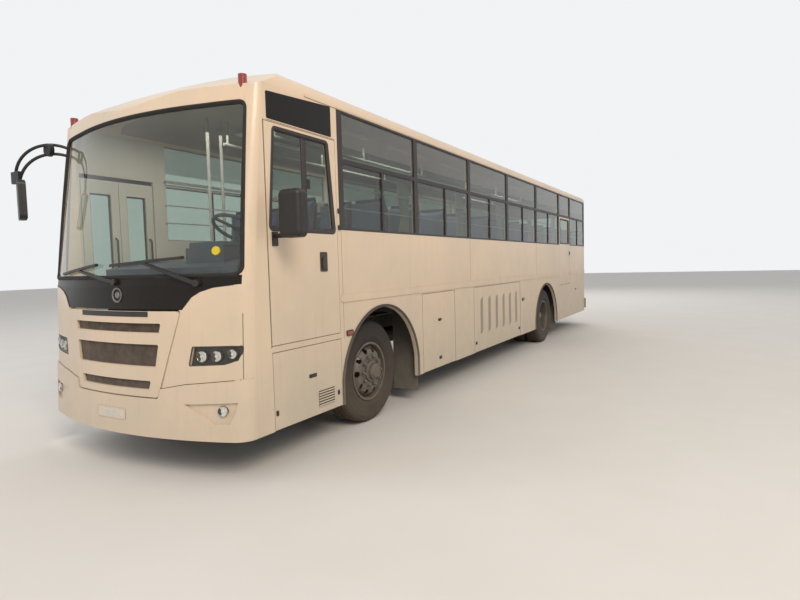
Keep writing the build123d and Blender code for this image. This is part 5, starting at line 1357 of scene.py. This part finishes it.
# width of a gathered curtain, its header, its hem, its distance from the coach's middle, and its pleats
CURTAIN_WIDTH = 0.255
CURTAIN_TOP = 2.600
CURTAIN_LOW = 1.905
CURTAIN_X = 1.1675
CURTAIN_FOLDS = 8
PLEAT_DEPTH = 0.0145
# share of the fall at which a curtain is tied in, and the share over which the tie draws it together
TIE_FALL = 0.62
TIE_REACH = 0.16
# front and rear end of the rails on each side
RAIL_RUNS = {1: [(-4.60, 3.36), (4.30, 5.84)], -1: [(-4.60, 5.84)]}


def window_ends(side):
    """Rear end of each window, with the escape door left out on its side."""
    ends = [pillar - 0.035 for pillar in PILLARS[1:]]
    return [end for number, end in enumerate(ends) if side < 0 or number != ESCAPE_BAY]


class COACH_OT_curtains(bpy.types.Operator):
    """Hangs a gathered curtain at the rear end of each window, on its rail"""

    bl_idname = "coach.curtains"
    bl_label = "Curtains"

    def execute(self, context):
        rng = random.Random(41)
        rails = bmesh.new()
        for side in (1, -1):
            for run in RAIL_RUNS[side]:
                box(rails, sorted((side * 1.160, side * 1.204)), run, (2.612, 2.638))
                box(rails, sorted((side * 1.162, side * 1.173)), run, (2.604, 2.612))
        make("curtain_rails", rails, "coach", ["powder_coated_tube"], bevel=0.002,
             replaces=["curtains"])
        places = [(side, rear) for side in (1, -1) for rear in window_ends(side)]
        for number, (side, rear) in enumerate(places):
            self.hang(number + 1, side, rear, rng)
        return {"FINISHED"}

    def hang(self, number, side, rear, rng):
        """One curtain: even pleats at the header that loosen, merge and lean below."""
        height = CURTAIN_TOP - CURTAIN_LOW
        columns, rows = CURTAIN_FOLDS * 10, 22
        phases = [rng.uniform(-0.5, 0.5) for _ in range(CURTAIN_FOLDS + 1)]
        depths = [rng.uniform(0.8, 1.0) for _ in range(CURTAIN_FOLDS + 1)]
        bm = bmesh.new()
        lines = []
        for j in range(rows + 1):
            fall = j / rows
            z = CURTAIN_TOP - height * fall
            tie = math.exp(-((fall - TIE_FALL) / TIE_REACH) ** 2)
            width = CURTAIN_WIDTH * (1.0 - 0.28 * tie)
            line = []
            for i in range(columns + 1):
                u = i / columns
                fold = u * CURTAIN_FOLDS
                k = min(int(fold), CURTAIN_FOLDS - 1)
                share = fold - k
                phase = (phases[k] * (1.0 - share) + phases[k + 1] * share) * fall
                depth = (depths[k] * (1.0 - share) + depths[k + 1] * share) * PLEAT_DEPTH * (1.0 - 0.15 * tie)
                wave = math.sin(math.tau * fold + phase)
                x = CURTAIN_X + depth * wave + 0.0015 * math.sin(9.0 * fall + 5.0 * u)
                y = rear - width * (1.0 - u) - 0.0022 * math.sin(2.0 * (math.tau * fold + phase))
                sag = 0.004 * math.sin(math.tau * fold * 0.5 + phases[k]) * fall
                line.append(Vector((side * x, y, z + sag)))
            lines.append([bm.verts.new(point) for point in line])
        for first, second in zip(lines, lines[1:]):
            for i in range(columns):
                bm.faces.new((first[i], first[i + 1], second[i + 1], second[i]))
        area = sum(face.calc_area() for face in bm.faces)
        sheet = make(f"curtain_{number}", bm, "coach", ["pleated_curtain_cloth"],
                     replaces=["curtains"], angle=180.0)


# y of the dash front at the height of its foot, and its slope, where the switches sit
SWITCH_Y = -5.44
SWITCH_FOOT_Z = 1.56
SWITCH_SLOPE = 0.4


class COACH_OT_cab(bpy.types.Operator):
    """Fits the instruments with their hood, the switches, pedals and gear lever of the driver's place"""

    bl_idname = "coach.cab"
    bl_label = "Driver's place"

    def execute(self, context):
        bm = bmesh.new()
        # hood with two dials and a row of small lamps, behind the wheel
        hood = rounded([(0.43, 1.80), (0.85, 1.80), (0.83, 1.845), (0.45, 1.845)], 0.015)
        prism(bm, hood, lambda u, v, w: Vector((u, w, v)), -5.66, -5.49)
        for x in (0.54, 0.74):
            lathe(bm, [(0.058, 0.0), (0.060, 0.006), (0.052, 0.008), (0.050, 0.002), (0.0, 0.002)],
                  (x, -5.482, 1.735), (0, 1, 0), 32, index=1)
        for k in range(6):
            box(bm, (0.60 + k * 0.014, 0.61 + k * 0.014), (-5.482, -5.478), (1.67, 1.68), 2)
        on_dash = lambda u, v, w: Vector((u, SWITCH_Y - (v - SWITCH_FOOT_Z) * SWITCH_SLOPE + w, v))
        for k in range(8):
            prism(bm, centred(0.24 - k * 0.045, 1.615, 0.016, 0.015, 0.003), on_dash, -0.004, 0.007, 1)
        make("dash_instruments", bm, "coach", ["grained_dash_abs", "moulded_black_plastic", "clear_lens"],
             bevel=0.002)
        bm = bmesh.new()
        for x in (0.50, 0.62, 0.78):
            tube(bm, [(x, -5.46, 1.62), (x, -5.43, 1.45), (x, -5.38, 1.36)], 0.009, 8)
            box(bm, (x - 0.03, x + 0.03), (-5.385, -5.365), (1.32, 1.41))
        tube(bm, [(0.30, -5.0, 1.50), (0.31, -5.02, 1.70), (0.33, -4.98, 1.80)], 0.009, 10)
        lathe(bm, [(0.0, -0.03), (0.02, -0.024), (0.028, 0.0), (0.02, 0.022), (0.0, 0.028)],
              (0.332, -4.976, 1.825), (0, 0, 1), 20)
        lathe(bm, [(0.075, 0.0), (0.07, 0.03), (0.04, 0.06), (0.045, 0.075), (0.015, 0.12), (0.0, 0.12)],
              (0.30, -5.0, 1.45), (0, 0, 1), 24)
        make("pedals_and_lever", bm, "coach", ["moulded_black_plastic"], bevel=0.0015)
        return {"FINISHED"}


# height of the ceiling, and the distance, first end, pitch, length and number of its lights
CEILING_Z = 3.165
LIGHT_X = 0.52
LIGHT_Y = -4.1
LIGHT_PITCH = 1.6
LIGHT_LENGTH = 1.1
LIGHT_COUNT = 6


class COACH_OT_ceiling(bpy.types.Operator):
    """Lines the ceiling with two rows of lights"""

    bl_idname = "coach.ceiling"
    bl_label = "Ceiling lights"

    def execute(self, context):
        bm = bmesh.new()
        for side in (1, -1):
            middle = side * LIGHT_X
            for k in range(LIGHT_COUNT):
                y = LIGHT_Y + k * LIGHT_PITCH
                outline = rectangle(middle - 0.05, middle + 0.05, y, y + LIGHT_LENGTH, 0.01)
                prism(bm, outline, lambda u, v, w: Vector((u, v, CEILING_Z - w)), 0.0, 0.02)
        make("ceiling_lights", bm, "coach", ["light_diffuser"], bevel=0.004)
        return {"FINISHED"}


# half width and heights of the flap drawn on the rear wall
REAR_FLAP_HALF = 0.62
REAR_FLAP_Z = (0.70, 1.62)
# x and heights of the round rear lamps, from the lowest
TAIL_LAMP_X = 1.045
TAIL_LAMP_Z = (0.92, 1.055, 1.19)


class COACH_OT_rear(bpy.types.Operator):
    """Adds the rear window's rubber, the flap's seams and latches, the bare plate and the lamp rings"""

    bl_idname = "coach.rear"
    bl_label = "Trim of the rear"

    def execute(self, context):
        bm = bmesh.new()
        window = rectangle(-0.93, 0.93, 1.975, 2.76, 0.05)
        ribbon(bm, on_rear(dense(window, 0.2)), 0.045, -0.024, 0.008)
        seams = [[(x, z) for z in REAR_FLAP_Z] for x in (-REAR_FLAP_HALF, REAR_FLAP_HALF)]
        seams += [[(x, z) for x in (-REAR_FLAP_HALF, REAR_FLAP_HALF)] for z in REAR_FLAP_Z]
        for seam in seams:
            strip(bm, on_rear(seam), 0.004, -0.003, 0.001)
        make("rear_rubbers", bm, "coach", ["moulded_rubber"])
        bm = bmesh.new()
        place = lambda u, v, w: Vector((u, REAR_Y + w, v))
        # bare plate, its lamp over it, and the flap's latches
        prism(bm, rectangle(-0.27, 0.27, 0.78, 0.92, 0.008), place, -0.001, 0.004)
        prism(bm, rectangle(-0.06, 0.06, 0.96, 1.0, 0.01), place, -0.001, 0.022, 1)
        for x in (-0.5, 0.5):
            for z in (0.78, 1.54):
                prism(bm, centred(x, z, 0.03, 0.02, 0.006), place, -0.001, 0.010, 1)
        make("rear_bare_plate", bm, "coach", ["gelcoat_cream", "moulded_black_plastic"],
             bevel=0.001)
        bm = bmesh.new()
        glass = bmesh.new()
        for side in (1, -1):
            for kind, z in enumerate(TAIL_LAMP_Z):
                origin = (side * TAIL_LAMP_X, REAR_Y + 0.03, z)
                lathe(glass, [(0.036, 0.0), (0.034, 0.006), (0.018, 0.009), (0.0, 0.010)], origin, (0, 1, 0),
                      32, index=kind)
                lathe(bm, [(0.041, -0.012), (0.042, 0.002), (0.038, 0.005), (0.0365, 0.0)], origin,
                      (0, 1, 0), 32)
            rim = [(side * x, z) for x, z in dense(rectangle(1.0, 1.09, 0.86, 1.25, 0.012), 0.06)]
            ribbon(bm, on_rear(rim, 0.018), 0.006, -0.016, 0.003)
        make("tail_lamp_glasses", glass, "coach", ["red_lens", "amber_lens", "clear_lens"])
        make("tail_lamp_rings", bm, "coach", ["moulded_black_plastic"])
        return {"FINISHED"}


# first joint of the roof sheets, their pitch and number, and the half width that a joint spans
JOINT_Y = -3.6
JOINT_PITCH = 1.45
JOINT_COUNT = 7
JOINT_HALF = 1.16
HATCH_LENGTH = 0.62
# height over which the points are dropped, and the lowest that still counts as the roof
OVER_ROOF_Z = 4.0
ROOF_EDGE_Z = 3.0


def on_roof(roof, points):
    """Points of an outline in x and y, with their normals, dropped on the roof."""
    path = []
    for x, y in points:
        hit, place, normal, _ = roof.ray_cast(Vector((x, y, OVER_ROOF_Z)), -UPWARDS)
        if hit and place.z > ROOF_EDGE_Z:
            path.append((place, normal))
    return path


class COACH_OT_roof(bpy.types.Operator):
    """Adds the sheet joints of the roof and the hatches' seals"""

    bl_idname = "coach.roof"
    bl_label = "Roof joints"

    def execute(self, context):
        graph = context.evaluated_depsgraph_get()
        roof = NODES["roof"].evaluated_get(graph)
        bm = bmesh.new()
        for k in range(JOINT_COUNT):
            y = JOINT_Y + k * JOINT_PITCH
            line = dense([(-JOINT_HALF, y), (JOINT_HALF, y)], JOINT_HALF / 15.0, closed=False)
            strip(bm, on_roof(roof, line), 0.022, -0.002, 0.0025)
        make("roof_joints", bm, "coach", ["sprayed_roof_cream"])
        bm = bmesh.new()
        low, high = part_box("roof_hatches")
        for front in (low[1], high[1] - HATCH_LENGTH):
            outline = rectangle(low[0], high[0], front, front + HATCH_LENGTH, 0.05)
            ribbon(bm, on_roof(roof, dense(outline, 0.08)), 0.02, -0.002, 0.008)
        make("hatch_seals", bm, "coach", ["moulded_rubber"])
        return {"FINISHED"}


# profile from end to end of an air tank, and where the two stand
AIR_TANK = [(0.0, -0.24), (0.08, -0.225), (0.11, -0.18), (0.11, 0.18), (0.08, 0.225), (0.0, 0.24)]
AIR_TANK_PLACES = ((0.62, 0.75, 0.86), (0.62, 1.05, 0.86))
# front bolt of each group of three on the frame rails
BOLT_GROUPS = (-5.2, -2.6, 0.2, 3.6)
BOLT_PITCH = 0.06


class COACH_OT_underbody(bpy.types.Operator):
    """Adds the tank's straps and filler cap, the air tanks, the frame bolts and the pipes along the frame"""

    bl_idname = "coach.underbody"
    bl_label = "Under the floor"

    def execute(self, context):
        low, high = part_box("fuel_tank")
        outline = rectangle(low[0], high[0], low[2], high[2], 0.06)
        middle = Vector(((low[0] + high[0]) / 2, (low[2] + high[2]) / 2))
        bm = bmesh.new()
        for share in (0.2, 0.8):
            y = low[1] + (high[1] - low[1]) * share
            path = []
            for point in outline:
                out = (point - middle).normalized()
                path.append((Vector((point[0], y, point[1])), Vector((out[0], 0.0, out[1]))))
            ribbon(bm, path, 0.045, -0.002, 0.004)
        lathe(bm, [(0.0, 0.03), (0.035, 0.03), (0.045, 0.02), (0.045, 0.0)],
              (low[0], (low[1] + high[1]) / 2, high[2] - 0.12), (-1, 0, 0), 24)
        make("tank_straps", bm, "coach", ["tank_sheet"])
        bm = bmesh.new()
        for place in AIR_TANK_PLACES:
            lathe(bm, AIR_TANK, place, (0, 0, 1), 28)
        make("air_tanks", bm, "coach", ["chassis_black_paint"])
        bm = bmesh.new()
        for side in (1, -1):
            for front in BOLT_GROUPS:
                for k in range(3):
                    lathe(bm, [(0.013, 0.0), (0.013, 0.010), (0.0, 0.010)],
                          (side * 0.43, front + k * BOLT_PITCH, 0.93), (side, 0, 0), 6)
            # pipe clipped along the rail, a little uneven
            pipe = [(side * 0.452, -5.3 + k * 0.7, 0.98 + 0.006 * math.sin(k * 1.7)) for k in range(15)]
            tube(bm, pipe, 0.009, 8)
        make("frame_bolts_and_lines", bm, "coach", ["zinc_plated_steel"])
        return {"FINISHED"}


FLOOR_REACH = 60.0
# name, place, aim, size, power and colour of the lamps
LAMPS = [
    ("key", (14.0, -14.0, 13.0), (0.5, -2.0, 1.5), 8.0, 2300.0, "#FFF1E0"),
    ("fill_left", (-13.0, -15.0, 9.0), (-0.5, -4.0, 1.5), 9.0, 900.0, "#F3F6FF"),
    ("rear", (-4.0, 17.0, 12.0), (0.0, 2.0, 1.5), 9.0, 900.0, "#FFFFFF"),
    ("cab_soft", (0.0, -5.0, 3.05), (0.0, -5.0, 1.0), 1.2, 26.0, "#FFF6EA"),
    ("saloon_front", (0.0, -2.2, 3.10), (0.0, -2.2, 1.0), 1.6, 55.0, "#FFF6EA"),
    ("saloon_rear", (0.0, 2.6, 3.10), (0.0, 2.6, 1.0), 1.6, 55.0, "#FFF6EA"),
]
# light that the floor and the coach receive from the sky, and the sky as it is seen
SKY_LIGHT = 0.62
SKY_SEEN = 1.0
# camera of the photographed view: place in metres, angles in radians, lens and sensor in millimetres
CAMERA_PLACE = (4.285, -8.849, 1.620)
CAMERA_YAW = 0.521956
CAMERA_PITCH = -0.063472
CAMERA_ROLL = -0.026602
CAMERA_LENS = 25.2
CAMERA_SENSOR = 36.0


def lay_floor(scene):
    """Pale matt floor under the coach."""
    bm = bmesh.new()
    corners = ((-1, -1), (1, -1), (1, 1), (-1, 1))
    bm.faces.new([bm.verts.new((u * FLOOR_REACH, v * FLOOR_REACH, 0.0)) for u, v in corners])
    mesh = bpy.data.meshes.new("studio_floor")
    bm.to_mesh(mesh)
    bm.free()
    # Matt paint on screed: two close greys, no shine
    tree, out = start_material("matt_studio_floor")
    coords = add_node(tree, "ShaderNodeTexCoord").outputs["Object"]
    shade = add_node(tree, "ShaderNodeTexNoise", {"Scale": 1.5, "Detail": 6.0}, {"Vector": coords})
    colour = add_node(tree, "ShaderNodeMix",
                      {"data_type": "RGBA", 6: linear("#D6D2CB"), 7: linear("#DEDAD4")},
                      {0: shade.outputs["Fac"]}).outputs[2]
    shader = add_node(tree, "ShaderNodeBsdfPrincipled", {"Roughness": 0.9}, {"Base Color": colour})
    tree.links.new(shader.outputs[0], out.inputs[0])
    mesh.materials.append(FINISH["matt_studio_floor"])
    floor = bpy.data.objects.new("studio_floor", mesh)
    scene.collection.objects.link(floor)


def raise_sky(scene):
    """Even pale sky, brighter where it is seen or mirrored than in the light that it gives."""
    world = bpy.data.worlds.new("studio")
    world.use_nodes = True
    scene.world = world
    tree = world.node_tree
    tree.nodes.clear()
    out = add_node(tree, "ShaderNodeOutputWorld")
    rays = add_node(tree, "ShaderNodeLightPath").outputs
    seen = rays["Is Camera Ray"]
    for ray in ("Is Glossy Ray", "Is Transmission Ray"):
        seen = add_node(tree, "ShaderNodeMath", {"operation": "MAXIMUM"}, {0: seen, 1: rays[ray]}).outputs[0]
    soft = add_node(tree, "ShaderNodeBackground", {"Color": linear("#F4F6FA"), "Strength": SKY_LIGHT})
    white = add_node(tree, "ShaderNodeBackground", {"Color": linear("#F1F3F5"), "Strength": SKY_SEEN})
    mixed = add_node(tree, "ShaderNodeMixShader", None, {0: seen, 1: soft.outputs[0], 2: white.outputs[0]})
    tree.links.new(mixed.outputs[0], out.inputs[0])


def hang_lamps(scene):
    """Square lamps round the coach and under its ceiling."""
    for name, place, aim, size, power, colour in LAMPS:
        light = bpy.data.lights.new(name, "AREA")
        light.size = size
        light.energy = power
        light.color = linear(colour)[:3]
        lamp = bpy.data.objects.new(name, light)
        lamp.location = place
        # the glass shows the even sky and not the outlines of the other lamps
        lamp.visible_glossy = name == "key"
        lamp.rotation_euler = (Vector(aim) - Vector(place)).to_track_quat("-Z", "Y").to_euler()
        scene.collection.objects.link(lamp)


def set_camera(scene):
    """Camera at the photographed view."""
    ahead = Vector((-math.sin(CAMERA_YAW) * math.cos(CAMERA_PITCH),
                    math.cos(CAMERA_YAW) * math.cos(CAMERA_PITCH), math.sin(CAMERA_PITCH)))
    level = Vector((math.cos(CAMERA_YAW), math.sin(CAMERA_YAW), 0.0))
    upright = level.cross(ahead)
    right = math.cos(CAMERA_ROLL) * level + math.sin(CAMERA_ROLL) * upright
    up = math.cos(CAMERA_ROLL) * upright - math.sin(CAMERA_ROLL) * level
    view = bpy.data.cameras.new("photo_view")
    view.lens = CAMERA_LENS
    view.sensor_width = CAMERA_SENSOR
    view.clip_end = 400.0
    camera = bpy.data.objects.new("photo_view", view)
    turn = Matrix((right, up, -ahead)).transposed().to_4x4()
    camera.matrix_world = Matrix.Translation(CAMERA_PLACE) @ turn
    scene.collection.objects.link(camera)
    scene.camera = camera


class COACH_OT_stage(bpy.types.Operator):
    """Lays the pale floor, hangs the lamps and sets the camera at the photographed view"""

    bl_idname = "coach.stage"
    bl_label = "Floor, lamps and camera"

    def execute(self, context):
        scene = context.scene
        lay_floor(scene)
        raise_sky(scene)
        hang_lamps(scene)
        set_camera(scene)
        scene.view_settings.view_transform = "Standard"
        return {"FINISHED"}


OPERATORS = [
    COACH_OT_finishes,
    COACH_OT_windscreen_rubber,
    COACH_OT_front_trim,
    COACH_OT_grille,
    COACH_OT_front_lamps,
    COACH_OT_side_trim,
    COACH_OT_door_trim,
    COACH_OT_mirrors,
    COACH_OT_wheels,
    COACH_OT_seats,
    COACH_OT_curtains,
    COACH_OT_cab,
    COACH_OT_ceiling,
    COACH_OT_rear,
    COACH_OT_roof,
    COACH_OT_underbody,
    COACH_OT_stage,
]


class COACH_PT_panel(bpy.types.Panel):
    """Lists the pieces of the coach"""

    bl_idname = "COACH_PT_panel"
    bl_label = "Coach bus"
    bl_space_type = "VIEW_3D"
    bl_region_type = "UI"
    bl_category = "Coach"

    def draw(self, context):
        for group in (context.scene.coach_colours, context.scene.coach_sizes):
            for name in group.bl_rna.properties.keys():
                if name not in {"rna_type", "name"}:
                    self.layout.prop(group, name)
        for operator in OPERATORS:
            self.layout.operator(operator.bl_idname)


def register():
    for cls in [CoachColours, CoachSizes] + OPERATORS + [COACH_PT_panel]:
        bpy.utils.register_class(cls)
    bpy.types.Scene.coach_colours = PointerProperty(type=CoachColours)
    bpy.types.Scene.coach_sizes = PointerProperty(type=CoachSizes)


def unregister():
    del bpy.types.Scene.coach_colours
    del bpy.types.Scene.coach_sizes
    for cls in reversed([CoachColours, CoachSizes] + OPERATORS + [COACH_PT_panel]):
        bpy.utils.unregister_class(cls)


def main():
    register()
    for operator in OPERATORS:
        group, name = operator.bl_idname.split(".")
        getattr(getattr(bpy.ops, group), name)()


if __name__ == "__main__":
    main()
